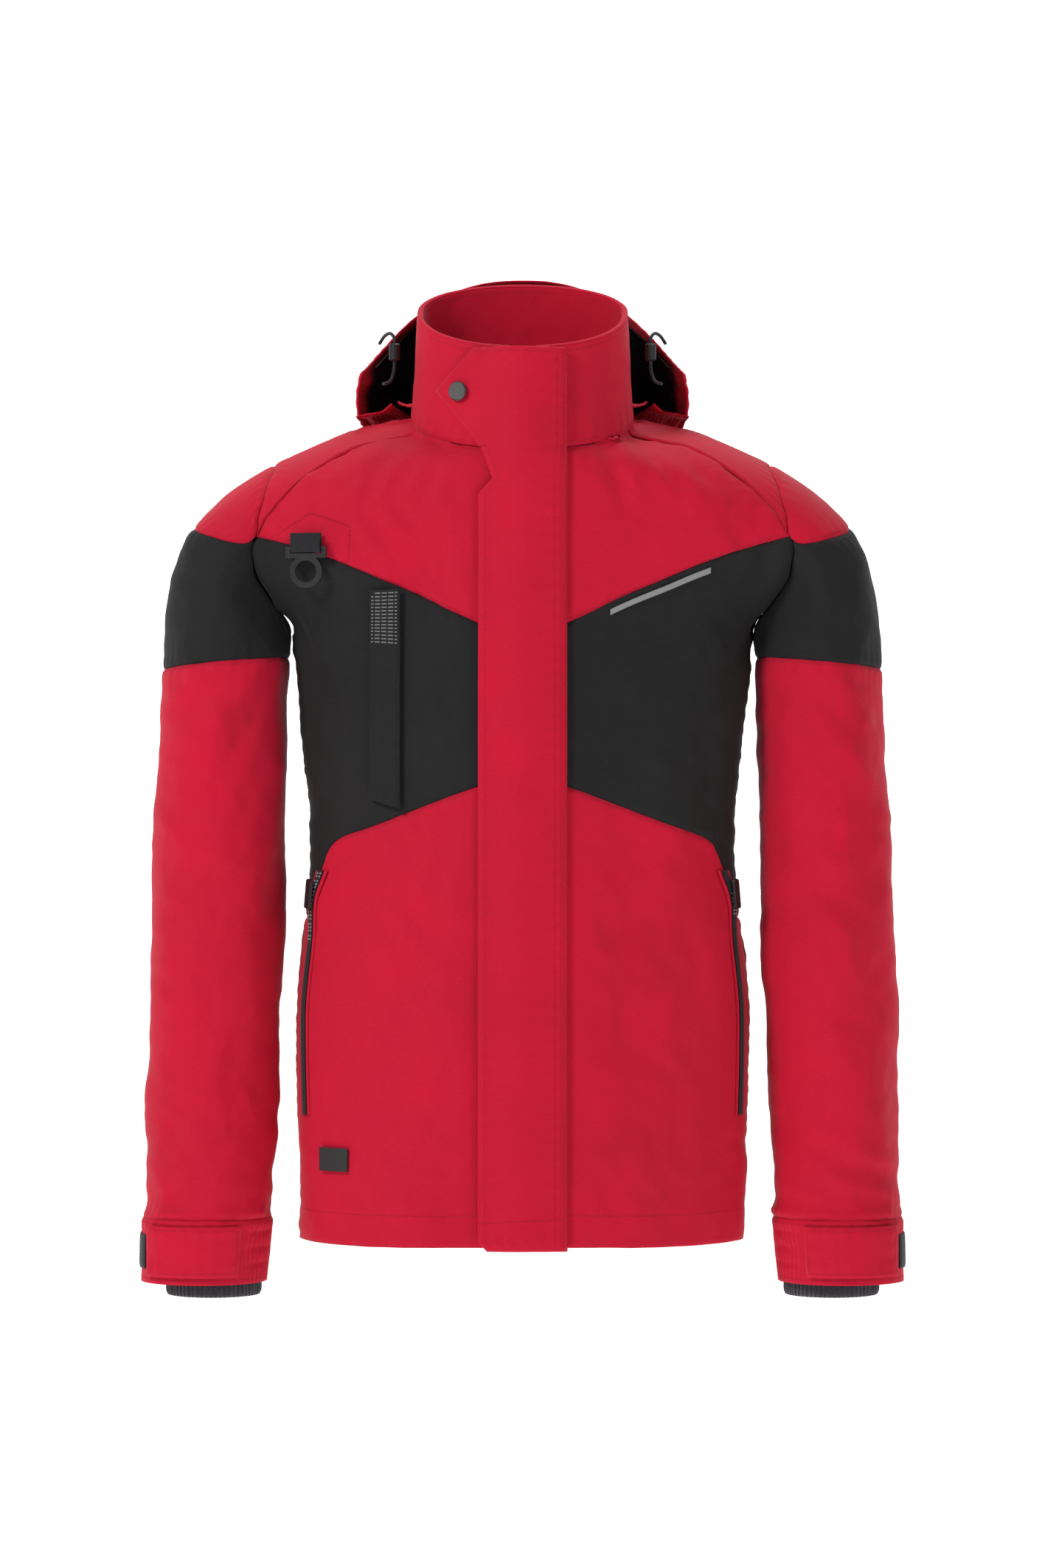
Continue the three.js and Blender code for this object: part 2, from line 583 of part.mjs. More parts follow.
function mainSlider() {
  const gap = BEAD_THICKNESS + 2 * CLEAR;
  const body = slider(SLIDER.length, SLIDER.width, gap, SLIDER.plate);
  place('main_slider', body, GUNMETAL, centreLine).position.set(0, CLOTH / 2, SLIDER.top);
  const pull = extruded(roundedBox(THREE.Shape, 0, 0, PULLER.width, PULLER.length, 2.5), PULLER.thickness);
  const front = CLOTH / 2 - gap / 2 - SLIDER.plate - CLEAR - PULLER.thickness / 2;
  place('main_puller', pull, BLACK, centreLine).position.set(0, front, SLIDER.top - PULLER.length / 2 + 4);
}

// ---- storm flap with its collar tab -------------------------------------------------------------
// The free edge's X at each height: straight, then a notch, then out to the tab's tip and back to its
// top corner.
const freeEdge = [
  [FLAP_BOTTOM_Z, FLAP_FREE_X + 8], [FLAP_BOTTOM_Z + 8, FLAP_FREE_X], [120, FLAP_FREE_X], [240, FLAP_FREE_X],
  [360, FLAP_FREE_X], [480, FLAP_FREE_X], [TAB_ROOT_Z - 50, FLAP_FREE_X], [TAB_ROOT_Z, FLAP_FREE_X],
  [TAB_ROOT_Z + 13, FLAP_FREE_X + 12], [TAB_ROOT_Z + 43, FLAP_FREE_X + 1],
  [TAB_TIP_Z - 30, FLAP_TAB_X + 22], [TAB_TIP_Z, FLAP_TAB_X], [TAB_TIP_Z + 18, FLAP_TAB_X + 15],
  [TAB_TIP_Z + 36, FLAP_TAB_X + 31],
];

// Gap between the flap's inner side and the body: small at the edges, large over the zip.
function flapLift(x) {
  const half = FLAP_SEWN_X + 2;
  const arch = Math.abs(x) < half ? Math.cos((Math.PI * x) / (2 * half)) ** 2 : 0;
  return FLAP_EDGE_LIFT + (FLAP_LIFT - FLAP_EDGE_LIFT) * arch;
}

function flapRows(extra) {
  return freeEdge.map(([z, free]) => shares(9).map((t) => {
    const x = mix(free, FLAP_SEWN_X, t);
    return lifted(...frontAt(x, z), flapLift(x) + extra);
  }));
}

function stormFlap() {
  place('storm_flap', shell(flapRows(CLOTH), flapRows(0), false), RED);
}

// ---- snap: cap in front of the tab, socket behind it, stud on the collar ------------------------
const SNAP = { cap: 2.2, socket: 1.3, hole: 3.1, post: 2.5, socketRadius: 6, studPlate: 0.8 };

function snap() {
  const spot = frontAt(SNAP_X, TAB_TIP_Z - 2);
  const turn = (mesh, lift) => setOnBody(mesh, spot, lift);
  const cap = turned([
    [0, 0], [SNAP_RADIUS, 0], [SNAP_RADIUS, 1.2], [SNAP_RADIUS - 1, SNAP.cap], [0, SNAP.cap]], 20);
  turn(place('snap_cap', cap, GUNMETAL), FLAP_EDGE_LIFT + CLOTH + 2.2);
  const socket = turned([[SNAP.hole, 0], [SNAP.socketRadius, 0], [SNAP.socketRadius, SNAP.socket],
    [SNAP.hole, SNAP.socket], [SNAP.hole, 0]]);
  turn(place('snap_socket', socket, GUNMETAL), SNAP.studPlate + 2 * CLEAR + 0.4);
  const stud = turned([[0, 0], [SNAP.socketRadius - 1, 0], [SNAP.socketRadius - 1, SNAP.studPlate],
    [SNAP.post, SNAP.studPlate], [SNAP.post, SNAP.studPlate + 1.6], [0, SNAP.studPlate + 1.6]]);
  turn(place('snap_stud', stud, GUNMETAL), CLEAR);
}

// ---- chest pocket: zip and cover flap on the wearer's right -------------------------------------
const CHEST_FLAP = {
  sewnX: -134, freeX: -108, top: BODY_LENGTH - 149, bottom: BODY_LENGTH - 330, slant: 9, lift: 3.4,
  thickness: 2,
};
const CHEST_ZIP = { x: -121, top: CHEST_FLAP.top - 8, bottom: CHEST_FLAP.bottom + 11, tape: 9 };

function chestPocket() {
  const rows = (lift) => shares(9).map((v) => shares(4).map((u) => {
    const x = mix(CHEST_FLAP.sewnX, CHEST_FLAP.freeX, u);
    const [a, h] = frontAt(x, mix(CHEST_FLAP.bottom - CHEST_FLAP.slant * u, CHEST_FLAP.top, v));
    return lifted(a, h, lift);
  }));
  const inner = rows(CHEST_FLAP.lift);
  place('chest_flap', shell(rows(CHEST_FLAP.lift + CHEST_FLAP.thickness), inner, false), BLACK);
  const path = shares(9).map((t) => frontAt(CHEST_ZIP.x, mix(CHEST_ZIP.bottom, CHEST_ZIP.top, t)));
  place('chest_pocket_zip', strip(path, CHEST_ZIP.tape, STRIP_LIFT, 1.3, 2), BLACK_PLASTIC);
}

// ---- hand pocket sliders ------------------------------------------------------------------------
const POCKET_SLIDER = { width: 9, length: 26, thickness: 2.4, lift: 5.2, fromTop: 22 };

function pocketSlider(side, sign) {
  const shape = roundedBox(THREE.Shape, 0, 0, POCKET_SLIDER.width, POCKET_SLIDER.length, 3);
  const mesh = place(`pocket_slider_${side}`, extruded(shape, POCKET_SLIDER.thickness), BLACK_PLASTIC);
  const h = POCKET.top - POCKET_SLIDER.fromTop;
  setOnBody(mesh, [sign * pocketAngle(h), h], POCKET_SLIDER.lift);
}

// ---- small trim ---------------------------------------------------------------------------------
const PIPING = { from: 78, to: 166, below: 6, width: 5, thickness: 1.2 };
const LABEL = { x: -163, z: 72, width: 31, height: 20, thickness: 1.6 };

function piping() {
  const height = curveThrough(yokeLine.map(([a, h]) => {
    const p = surface(a, h);
    return [p.x, p.z];
  }));
  const path = shares(8).map((t) => {
    const x = mix(PIPING.from, PIPING.to, t);
    const z = height(x) - PIPING.below;
    return [frontAt(x, z - PIPING.width / 2), frontAt(x, z + PIPING.width / 2)];
  });
  const at = (lift) => [0, 1].map((edge) => path.map((pair) => lifted(...pair[edge], lift)));
  const lift = STRIP_LIFT;
  place('reflective_piping', shell(at(lift + PIPING.thickness), at(lift), false), SILVER_PRINT);
}

function label() {
  const path = shares(2).map((t) => frontAt(LABEL.x, LABEL.z + (t - 0.5) * LABEL.height));
  place('label_patch', strip(path, LABEL.width, STRIP_LIFT, LABEL.thickness, 4), RUBBER);
}

// ---- ring plate on its webbing ------------------------------------------------------------------
const RING = { x: -186, z: BODY_LENGTH - 115, lift: 5, width: 36, bar: 2.6, slot: 3.4, lowerBar: 4, thickness: 2.6,
  outer: 14.5, inner: 9.5 };
const WEBBING = { width: 26, thickness: 1.2, clear: 0.9, leg: 13 };

// Drawn with the axis of the top bar at the origin.
function ringPlate() {
  const lowerTop = -RING.bar / 2 - RING.slot;
  const ringCentre = lowerTop - RING.lowerBar - RING.outer + 3;
  const shape = new THREE.Shape();
  const [w, t] = [RING.width / 2, RING.bar / 2];
  const lowerEnd = lowerTop - RING.lowerBar;
  const meet = Math.sqrt(RING.outer ** 2 - (lowerEnd - ringCentre) ** 2);
  const start = Math.atan2(lowerEnd - ringCentre, meet);
  shape.moveTo(-w, t);
  shape.lineTo(-w, lowerEnd);
  shape.absarc(0, ringCentre, RING.outer, Math.PI - start, start, false);
  shape.lineTo(w, lowerEnd);
  shape.lineTo(w, t);
  const slotHalf = WEBBING.width / 2 + 1;
  shape.holes.push(roundedBox(THREE.Path, 0, lowerTop + RING.slot / 2, 2 * slotHalf, RING.slot, 0.5));
  const hole = new THREE.Path();
  hole.absarc(0, ringCentre, RING.inner, 0, Math.PI * 2);
  shape.holes.push(hole);
  const plateGroup = new THREE.Group();
  setOnBody(plateGroup, frontAt(RING.x, RING.z), RING.lift);
  jacket.add(plateGroup);
  place('ring_plate', extruded(shape, RING.thickness, 8), BLACK_PLASTIC, plateGroup);
  place('webbing_loop', webbing(), BLACK, plateGroup);
}

// A strap that comes down, turns round the plate's top bar and goes up again; section in Y and Z.
function webbing() {
  const inner = RING.bar / 2 + WEBBING.clear;
  const outer = inner + WEBBING.thickness;
  const shape = new THREE.Shape();
  shape.moveTo(-outer, WEBBING.leg);
  shape.absarc(0, 0, outer, Math.PI, 2 * Math.PI, false);
  shape.lineTo(outer, WEBBING.leg);
  shape.lineTo(inner, WEBBING.leg);
  shape.absarc(0, 0, inner, 2 * Math.PI, Math.PI, true);
  shape.lineTo(-inner, WEBBING.leg);
  const geometry = new THREE.ExtrudeGeometry(shape, {
    depth: WEBBING.width, bevelEnabled: false, curveSegments: 6 });
  geometry.translate(0, 0, -WEBBING.width / 2);
  geometry.rotateY(Math.PI / 2);
  geometry.rotateX(Math.PI / 2);
  return geometry;
}

// ---- sleeves ------------------------------------------------------------------------------------
const LOOP_STEPS = 2 * (LOWER_ARMHOLE_STEPS + UPPER_ARMHOLE_STEPS);
const jointShare = LOWER_ARMHOLE_STEPS / LOOP_STEPS;    // where the raglan and yoke seams meet the armhole

function armholePoint(u) {
  const front = u <= 0.5;
  const [a, h] = armholeFront(front ? 2 * u : 2 - 2 * u);
  return surface(front ? a : 180 - a, h);
}

const sleeveValue = (key) => curveThrough([
  [CUFF_SEAM_Z, WRIST[key]], [ELBOW_Z, ELBOW[key]], [BICEP_Z, BICEP[key]]]);
const sleeveAxisX = sleeveValue('x');
const sleeveAxisY = sleeveValue('y');
const sleeveHalfWidth = sleeveValue('halfWidth');
const sleeveHalfDepth = sleeveValue('halfDepth');

// u: round the sleeve, 0 at the body, a quarter at the front, a half outside.
function ringPoint(u, x, y, halfWide, halfDeep, z) {
  const angle = 2 * Math.PI * u;
  return new THREE.Vector3(x - halfWide * Math.cos(angle), y - halfDeep * Math.sin(angle), z);
}
const bicepHeight = (u) => BICEP_Z + 5 * Math.cos(2 * Math.PI * u);
function tubePoint(u, z) {
  return ringPoint(u, sleeveAxisX(z), sleeveAxisY(z), sleeveHalfWidth(z), sleeveHalfDepth(z), z);
}

// t: 0 at the armhole, 1 at the lower edge of the black band, 2 at the cuff seam.
function sleevePoint(u, t) {
  if (t > 1) return tubePoint(u, mix(bicepHeight(u), CUFF_SEAM_Z, t - 1));
  const top = Math.sin(Math.PI * u) ** 2;
  const forward = -0.25 * Math.sin(2 * Math.PI * u);
  const out = new THREE.Vector3(mix(0.35, 0.9, top), forward, -mix(0.95, 0.43, top));
  const start = armholePoint(u);
  const end = tubePoint(u, bicepHeight(u));
  const curve = new THREE.CubicBezierCurve3(
    start, start.clone().addScaledVector(out.normalize(), mix(6, 88, top)),
    end.clone().add(new THREE.Vector3(0, 0, mix(7, 100, top))), end,
  );
  return curve.getPoint(t);
}

// Lower edge of the red cap, as a t; 0 where the cap doesn't reach.
function capEdge(u) {
  const across = (u - jointShare) / (1 - 2 * jointShare);
  if (across < -0.001 || across > 1.001) return 0;
  return 0.05 + (CAP_HEIGHT - 0.05) * Math.sin(Math.PI * THREE.MathUtils.clamp(across, 0, 1)) ** 0.8;
}

const loopShares = shares(LOOP_STEPS).slice(0, -1);

function sleeve(side, sign) {
  const capShares = shares(LOOP_STEPS).slice(LOWER_ARMHOLE_STEPS, LOOP_STEPS - LOWER_ARMHOLE_STEPS + 1);
  const put = (name, geometry, look) => place(`${name}_${side}`, sided(geometry, sign), look);
  // Rows go up the sleeve: down is 1 at the lowest row and 0 at the highest.
  const rows = (steps, columns, point) => shares(steps).map((v) => columns.map((u) => point(u, 1 - v)));
  const capRows = rows(3, capShares, (u, down) => sleevePoint(u, capEdge(u) * down));
  put('sleeve_cap', sheet(inset(inset(capRows, SEAM_GAP), SLEEVE_GAP, 'top'), CLOTH), RED);
  const bandRows = rows(4, loopShares, (u, down) => sleevePoint(u, mix(capEdge(u), 1, down)));
  const band = inset(inset(bandRows, SLEEVE_GAP, 'top'), SEAM_GAP, 'bottom');
  put('sleeve_band', sheet(band, CLOTH, true), BLACK);
  const lowerRows = rows(8, loopShares, (u, down) => sleevePoint(u, 1 + down));
  put('sleeve_lower', sheet(inset(lowerRows, SEAM_GAP, 'bottom top'), CLOTH, true), RED);
  const cuffRows = rows(2, loopShares, (u, down) => cuffPoint(u, down));
  put('cuff', sheet(inset(cuffRows, SEAM_GAP, 'top'), CLOTH, true), RED);
  const { x, y, halfWidth: wide, halfDepth: deep, top, bottom } = INNER_CUFF;
  const innerRows = rows(2, loopShares, (u, down) => ringPoint(u, x, y, wide, deep, mix(top, bottom, down)));
  put('inner_cuff', sheet(innerRows, CLOTH, true), KNIT);
  cuffTab(put);
}

// v: 0 at the cuff seam, 1 at the cuff's lower edge.
function cuffPoint(u, v, lift = 0) {
  const value = (key) => mix(WRIST[key], CUFF_END[key], v);
  return ringPoint(u, value('x'), value('y'), value('halfWidth') + lift, value('halfDepth') + lift,
    CUFF_SEAM_Z - CUFF_DEPTH * v);
}

const TAB = { sewn: 0.158, free: 0.4, top: 0.09, bottom: 0.88, lift: 2.6, thickness: 1.8 };
const LOOP_PATCH = { from: 0.425, to: 0.53, top: 0.25, bottom: 0.78, lift: 0.8, thickness: 1.1 };

function cuffTab(put) {
  const patchAt = (size, lift) => shares(1).map((v) => shares(4).map((s) => cuffPoint(
    mix(size.from ?? size.sewn, size.to ?? size.free, s), mix(size.top, size.bottom, v), lift)));
  const tab = shell(patchAt(TAB, TAB.lift + TAB.thickness), patchAt(TAB, TAB.lift), false);
  put('cuff_tab', tab, RED);
  const { lift, thickness } = LOOP_PATCH;
  const loops = shell(patchAt(LOOP_PATCH, lift + thickness), patchAt(LOOP_PATCH, lift), false);
  put('loop_patch', loops, BLACK);
}

// ---- hanging loop inside the back of the neck ---------------------------------------------------
const HANG_LOOP = { half: 30, bow: 12, height: 8, thickness: 1.6, z: BODY_LENGTH + 30 };
const facingBack = COLLAR_BACK_DEPTH - FACING_DEPTH - CLOTH + 3.2;

function hangingLoop() {
  const row = (inward) => shares(10).map((t) => {
    const x = mix(-HANG_LOOP.half, HANG_LOOP.half, t);
    return [x, facingBack - 2.5 - (HANG_LOOP.bow + inward) * Math.sin(Math.PI * t) ** 0.7 - inward * 0.6];
  });
  const rows = (inward) => [0, 1].map((v) => row(inward).map(([x, y]) => new THREE.Vector3(
    x, y, HANG_LOOP.z + (v - 0.5) * HANG_LOOP.height)));
  place('hanging_loop', shell(rows(HANG_LOOP.thickness), rows(0), false), BLACK);
}

// ---- hood, lying back ---------------------------------------------------------------------------
// Middle line of the hood from the rim over the bag and back up to the neck: [y, z] on a 715 mm body.
const hoodRise = BODY_LENGTH - 715;
const hoodMiddle = new THREE.CatmullRomCurve3([
  [112, 853], [150, 828], [180, 772], [190, 700], [180, 636], [150, 600], [134, 622], [124, 676], [104, 733],
].map(([y, z]) => new THREE.Vector3(0, y, z + hoodRise)), false, 'centripetal');
// The same line at the hood's front ends.
const hoodEnd = new THREE.CatmullRomCurve3([
  [-36, 757], [-35, 740], [-26, 722], [-8, 722], [2, 736],
].map(([y, z]) => new THREE.Vector3(0, y, z + hoodRise)), false, 'centripetal');
const HOOD_CLEAR = 4;
const hoodHalf = curveThrough([[0, 145], [0.3, 150], [0.6, 146], [0.8, 130], [1, 112]]);

// s: 0 at the rim, 1 at the neck. across: degrees, 0 in the middle, 80 at a front end.
function hoodPoint(s, across) {
  const middle = hoodMiddle.getPoint(s);
  const end = hoodEnd.getPoint(s);
  const side = Math.sin(radians(across));
  const forward = Math.cos(radians(across));
  const p = new THREE.Vector3(
    hoodHalf(s) * Math.sign(side) * Math.abs(side) ** 0.8,
    mix(end.y, middle.y, forward ** 0.7),
    mix(end.z, middle.z, forward ** 2),
  );
  return restOnShoulders(p, s);
}

// Moves a point of the hood's underside up until it clears the body.
function restOnShoulders(p, s) {
  while (s > 0.35 && insideBody(p.x, p.y, p.z - HOOD_CLEAR, HOOD_CLEAR)) p.z += 1;
  return p;
}

function insideBody(x, y, z, margin) {
  let h = z;
  for (let i = 0; i < 6; i += 1) h = z - tilt(Math.min(h, COLLAR_TOP)) * y;
  if (h > COLLAR_TOP) return false;
  const depth = y < 0 ? frontDepth(h) : backDepth(h);
  const n = squareness(h);
  return (Math.abs(x) / (halfWidth(h) + margin)) ** n + (Math.abs(y) / (depth + margin)) ** n < 1;
}

const HOOD_CLOTH = 1.8;
const HOOD_LAYER_GAP = 4;
const HOOD_EDGE = 0.95;           // the moving shell ends here, and the neck band begins
const HOOD_SPREAD = 80;           // degrees to each front end

function hood() {
  const rows = (from, to, spread) => shares(12).map((v) => shares(14).map((t) => hoodPoint(
    mix(from, to, v), mix(-spread, spread, t))));
  place('hood_shell', sheet(rows(0, HOOD_EDGE, HOOD_SPREAD), HOOD_CLOTH), RED);
  const inside = rows(0.02, HOOD_EDGE - 0.04, HOOD_SPREAD - 12);
  const depth = HOOD_CLOTH + HOOD_LAYER_GAP;
  place('hood_lining', shell(sunk(inside, depth), sunk(inside, depth + LINING), false), BLACK);
}

// Fixed strip between the collar's base and the hood.
function hoodNeckBand() {
  const base = (t) => lifted(mix(100, 260, t), BODY_LENGTH + 9, 1.4);
  const rows = shares(2).map((v) => shares(16).map((t) => base(t).lerp(
    hoodPoint(0.98, mix(HOOD_SPREAD, -HOOD_SPREAD, t)), 0.86 * v)));
  place('hood_neck_band', sheet(rows, HOOD_CLOTH), RED);
}

// ---- cord locks and the elastic through them ----------------------------------------------------
const CORD_LOCK = { x: 113, y: 5, z: 777 + hoodRise, radius: 5, hole: 2.1, length: 15 };
const CORD_RADIUS = 1.5;
const HOOD_CORD = [
  [127, 30, 787], [122, 22, 793], [116.5, 11, 794], [113, 5, 789], [113, 5, 783], [113, 5, 777],
  [113, 5, 771], [113, 4, 764], [114, 0, 757], [116, -7, 751], [119, -14, 748], [122, -20, 747],
];

function cordLock(side, sign) {
  const { radius, hole, length } = CORD_LOCK;
  const half = length / 2;
  const barrel = turned([[hole, -half], [radius - 1, -half], [radius, 1 - half], [radius, half - 1],
    [radius - 1, half], [hole, half], [hole, -half]], 14).rotateX(Math.PI / 2);
  const lock = place(`cord_lock_${side}`, barrel, BLACK_PLASTIC);
  lock.position.set(sign * CORD_LOCK.x, CORD_LOCK.y, CORD_LOCK.z);
  const path = new THREE.CatmullRomCurve3(HOOD_CORD.map(([x, y, z]) => new THREE.Vector3(sign * x, y, z)));
  const section = new THREE.Shape();
  section.absarc(0, 0, CORD_RADIUS, 0, Math.PI * 2);
  const cord = new THREE.ExtrudeGeometry(section, {
    steps: 22, extrudePath: path, curveSegments: 8, bevelEnabled: false });
  place(`hood_cord_${side}`, cord, BLACK);
}

// ---- the whole jacket ---------------------------------------------------------------------------
SIDES.forEach(([side, sign]) => {
  frontPanels(side, sign);
  shoulderPanel(side, sign);
  handPocket(side, sign);
  pocketSlider(side, sign);
  sleeve(side, sign);
  cordLock(side, sign);
});
backPanels();
linings();
collar();
mainZip();
mainSlider();
stormFlap();
snap();
chestPocket();
piping();
label();
ringPlate();
hangingLoop();
hood();
hoodNeckBand();

// The hanging loop is the origin: a hook holds the jacket there.
jacket.position.set(0, HANG_LOOP.bow + 2.5 - facingBack, -HANG_LOOP.z);
const part = new THREE.Group();
part.add(jacket);

export default part;
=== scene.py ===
import math
import bpy
import numpy as np
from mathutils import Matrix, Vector
from mathutils.kdtree import KDTree


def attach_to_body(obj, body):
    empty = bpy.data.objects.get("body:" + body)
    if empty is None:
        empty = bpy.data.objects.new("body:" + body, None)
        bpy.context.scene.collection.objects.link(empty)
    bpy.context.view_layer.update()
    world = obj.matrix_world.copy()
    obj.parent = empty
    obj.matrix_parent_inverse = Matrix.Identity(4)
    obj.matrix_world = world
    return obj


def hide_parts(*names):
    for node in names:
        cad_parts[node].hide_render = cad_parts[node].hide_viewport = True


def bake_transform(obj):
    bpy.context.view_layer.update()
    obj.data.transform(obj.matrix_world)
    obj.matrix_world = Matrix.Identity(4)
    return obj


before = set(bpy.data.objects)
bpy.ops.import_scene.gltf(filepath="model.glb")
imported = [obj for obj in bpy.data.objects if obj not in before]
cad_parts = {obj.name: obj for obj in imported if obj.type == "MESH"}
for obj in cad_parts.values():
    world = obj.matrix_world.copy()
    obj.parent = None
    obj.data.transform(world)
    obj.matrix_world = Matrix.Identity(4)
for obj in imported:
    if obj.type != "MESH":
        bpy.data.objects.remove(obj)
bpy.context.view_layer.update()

# Shapes are drawn in millimetres with zero at the hem, as in the CAD source, then moved to the
# frame's origin at the hanging loop.
SHIFT = np.array([0.0, -44.9, -745.0])


def metres(p):
    return (np.asarray(p, float) + SHIFT) / 1000


# ---- camera
CAMERA_DISTANCE, CAMERA_HEIGHT = 4000, 396
cam_data = bpy.data.cameras.new("camera")
cam_data.lens = 104.2
cam_data.sensor_width = 36
camera = bpy.data.objects.new("camera", cam_data)
camera.location = metres((0, -CAMERA_DISTANCE, CAMERA_HEIGHT))
camera.rotation_euler = (math.pi / 2, 0, 0)
bpy.context.scene.collection.objects.link(camera)
bpy.context.scene.camera = camera


# ---- elastic cords of the hood
HOOD_CORD = [  # on the wearer's left, as in the CAD source
    (127, 30, 787), (122, 22, 793), (116.5, 11, 794), (113, 5, 789), (113, 5, 783), (113, 5, 777),
    (113, 5, 771), (113, 4, 764), (114, 0, 757), (116, -7, 751), (119, -14, 748), (122, -20, 747)]
CORD_DIAMETER = 3.0


def catmull_rom(points, per_span):
    """A centripetal Catmull-Rom curve through points, with per_span steps between each two."""
    p = np.array(points, float)
    p = np.vstack([2 * p[0] - p[1], p, 2 * p[-1] - p[-2]])
    out = []
    for a, b, c, d in zip(p, p[1:], p[2:], p[3:]):
        k1, k2, k3 = (max(1e-6, np.linalg.norm(q - r)) ** 0.5 for q, r in ((b, a), (c, b), (d, c)))
        m1 = (c - b + k2 * ((b - a) / k1 - (c - a) / (k1 + k2)))
        m2 = (c - b + k2 * ((d - c) / k3 - (d - b) / (k2 + k3)))
        for t in np.arange(per_span) / per_span:
            out.append((2 * t ** 3 - 3 * t ** 2 + 1) * b + (t ** 3 - 2 * t ** 2 + t) * m1
                       + (3 * t ** 2 - 2 * t ** 3) * c + (t ** 3 - t ** 2) * m2)
    return np.array(out + [p[-2]])


def tube(name, path, radius, sides=12):
    """A closed round tube along a path, as a mesh."""
    ahead = np.gradient(path, axis=0)
    ahead /= np.linalg.norm(ahead, axis=1, keepdims=True)
    side = np.cross(ahead[0], (0.3, 1, 0.2))
    rings = []
    for centre, way in zip(path, ahead):
        side = side - way * (side @ way)
        side = side / np.linalg.norm(side)
        turn = np.linspace(0, 2 * np.pi, sides, endpoint=False)[:, None]
        rings.append(centre + radius * (np.cos(turn) * side + np.sin(turn) * np.cross(way, side)))
    i = np.arange(len(path) * sides).reshape(-1, sides)
    nxt = np.roll(i, -1, axis=1)
    faces = np.stack([i[:-1], nxt[:-1], nxt[1:], i[1:]], -1).reshape(-1, 4).tolist()
    faces += [i[0][::-1].tolist(), i[-1].tolist()]
    mesh = bpy.data.meshes.new(name)
    mesh.from_pydata(metres(np.vstack(rings)).tolist(), [], faces)
    mesh.polygons.foreach_set("use_smooth", [len(f) == 4 for f in faces])
    obj = bpy.data.objects.new(name, mesh)
    bpy.context.scene.collection.objects.link(obj)
    return obj


def hood_cord(side, sign):
    path = catmull_rom([(sign * x, y, z) for x, y, z in HOOD_CORD], 6)
    cord = tube(f"hood_elastic_{side}", path, CORD_DIAMETER / 2)
    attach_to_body(cord, "hood")
    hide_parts(f"hood_cord_{side}")
    return cord


elastics = [hood_cord("right", -1), hood_cord("left", 1)]


# ---- materials
def new_material(name):
    mat = bpy.data.materials.new(name)
    mat.use_nodes = True
    nodes = mat.node_tree.nodes
    return mat, nodes, mat.node_tree.links, nodes["Principled BSDF"]


def calculator(nodes, links):
    def calc(kind, a, b):
        node = nodes.new("ShaderNodeMath")
        node.operation = kind
        for socket, value in zip(node.inputs, (a, b)):
            if isinstance(value, (int, float)):
                socket.default_value = value
            else:
                links.new(value, socket)
        return node.outputs[0]
    return calc


def two_tone(nodes, links, fac, dark, light):
    ramp = nodes.new("ShaderNodeValToRGB")
    ramp.color_ramp.elements[0].color = (*dark, 1)
    ramp.color_ramp.elements[1].color = (*light, 1)
    ramp.color_ramp.elements[0].position = 0.3
    ramp.color_ramp.elements[1].position = 0.7
    links.new(fac, ramp.inputs[0])
    return ramp.outputs[0]


def cloth_material(name, colour, roughness=0.72, spread=0.12, pitch=0.9, bump=0.35, sheen=0.15, slub=0.5):
    """Twill: diagonal ribs across fine threads, with slubs and a slow change of tone. pitch in mm."""
    mat, nodes, links, shader = new_material(name)
    calc = calculator(nodes, links)
    uv = nodes.new("ShaderNodeUVMap")
    uv.uv_map = "cloth"
    split = nodes.new("ShaderNodeSeparateXYZ")
    links.new(uv.outputs[0], split.inputs[0])
    k = 2 * math.pi / pitch * 1000
    weft = calc("SINE", calc("MULTIPLY", split.outputs[1], k), 0)
    rib = calc("ADD", split.outputs[0], split.outputs[1])
    rib = calc("SINE", calc("MULTIPLY", rib, k * 0.5), 0)
    weave = calc("ADD", calc("MULTIPLY", weft, 0.5), rib)
    stretch = nodes.new("ShaderNodeMapping")
    stretch.inputs["Scale"].default_value = (180, 1100, 1)
    links.new(uv.outputs[0], stretch.inputs[0])
    threads = nodes.new("ShaderNodeTexNoise")
    threads.inputs["Scale"].default_value = 1
    threads.inputs["Detail"].default_value = 3
    links.new(stretch.outputs[0], threads.inputs[0])
    where = nodes.new("ShaderNodeTexCoord")
    cloud = nodes.new("ShaderNodeTexNoise")
    cloud.inputs["Scale"].default_value = 14
    cloud.inputs["Detail"].default_value = 5
    links.new(where.outputs["Object"], cloud.inputs[0])
    mixed = calc("ADD", calc("MULTIPLY", threads.outputs[0], slub),
                      calc("MULTIPLY", cloud.outputs[0], 1 - slub))
    dark = [c * (1 - spread) for c in colour]
    light = [min(1, c * (1 + spread)) for c in colour]
    links.new(two_tone(nodes, links, mixed, dark, light), shader.inputs["Base Color"])
    rough = calc("ADD", calc("MULTIPLY", cloud.outputs[0], 0.12),
                      roughness - 0.06)
    links.new(rough, shader.inputs["Roughness"])
    height = calc("ADD", calc("MULTIPLY", weave, 0.25),
                       calc("MULTIPLY", threads.outputs[0], 1.6))
    bumped = nodes.new("ShaderNodeBump")
    bumped.inputs["Strength"].default_value = bump
    bumped.inputs["Distance"].default_value = 0.00025
    links.new(height, bumped.inputs["Height"])
    links.new(bumped.outputs[0], shader.inputs["Normal"])
    shader.inputs["Sheen Weight"].default_value = sheen
    shader.inputs["Sheen Roughness"].default_value = 0.5
    shader.inputs["Specular IOR Level"].default_value = 0.18
    return mat


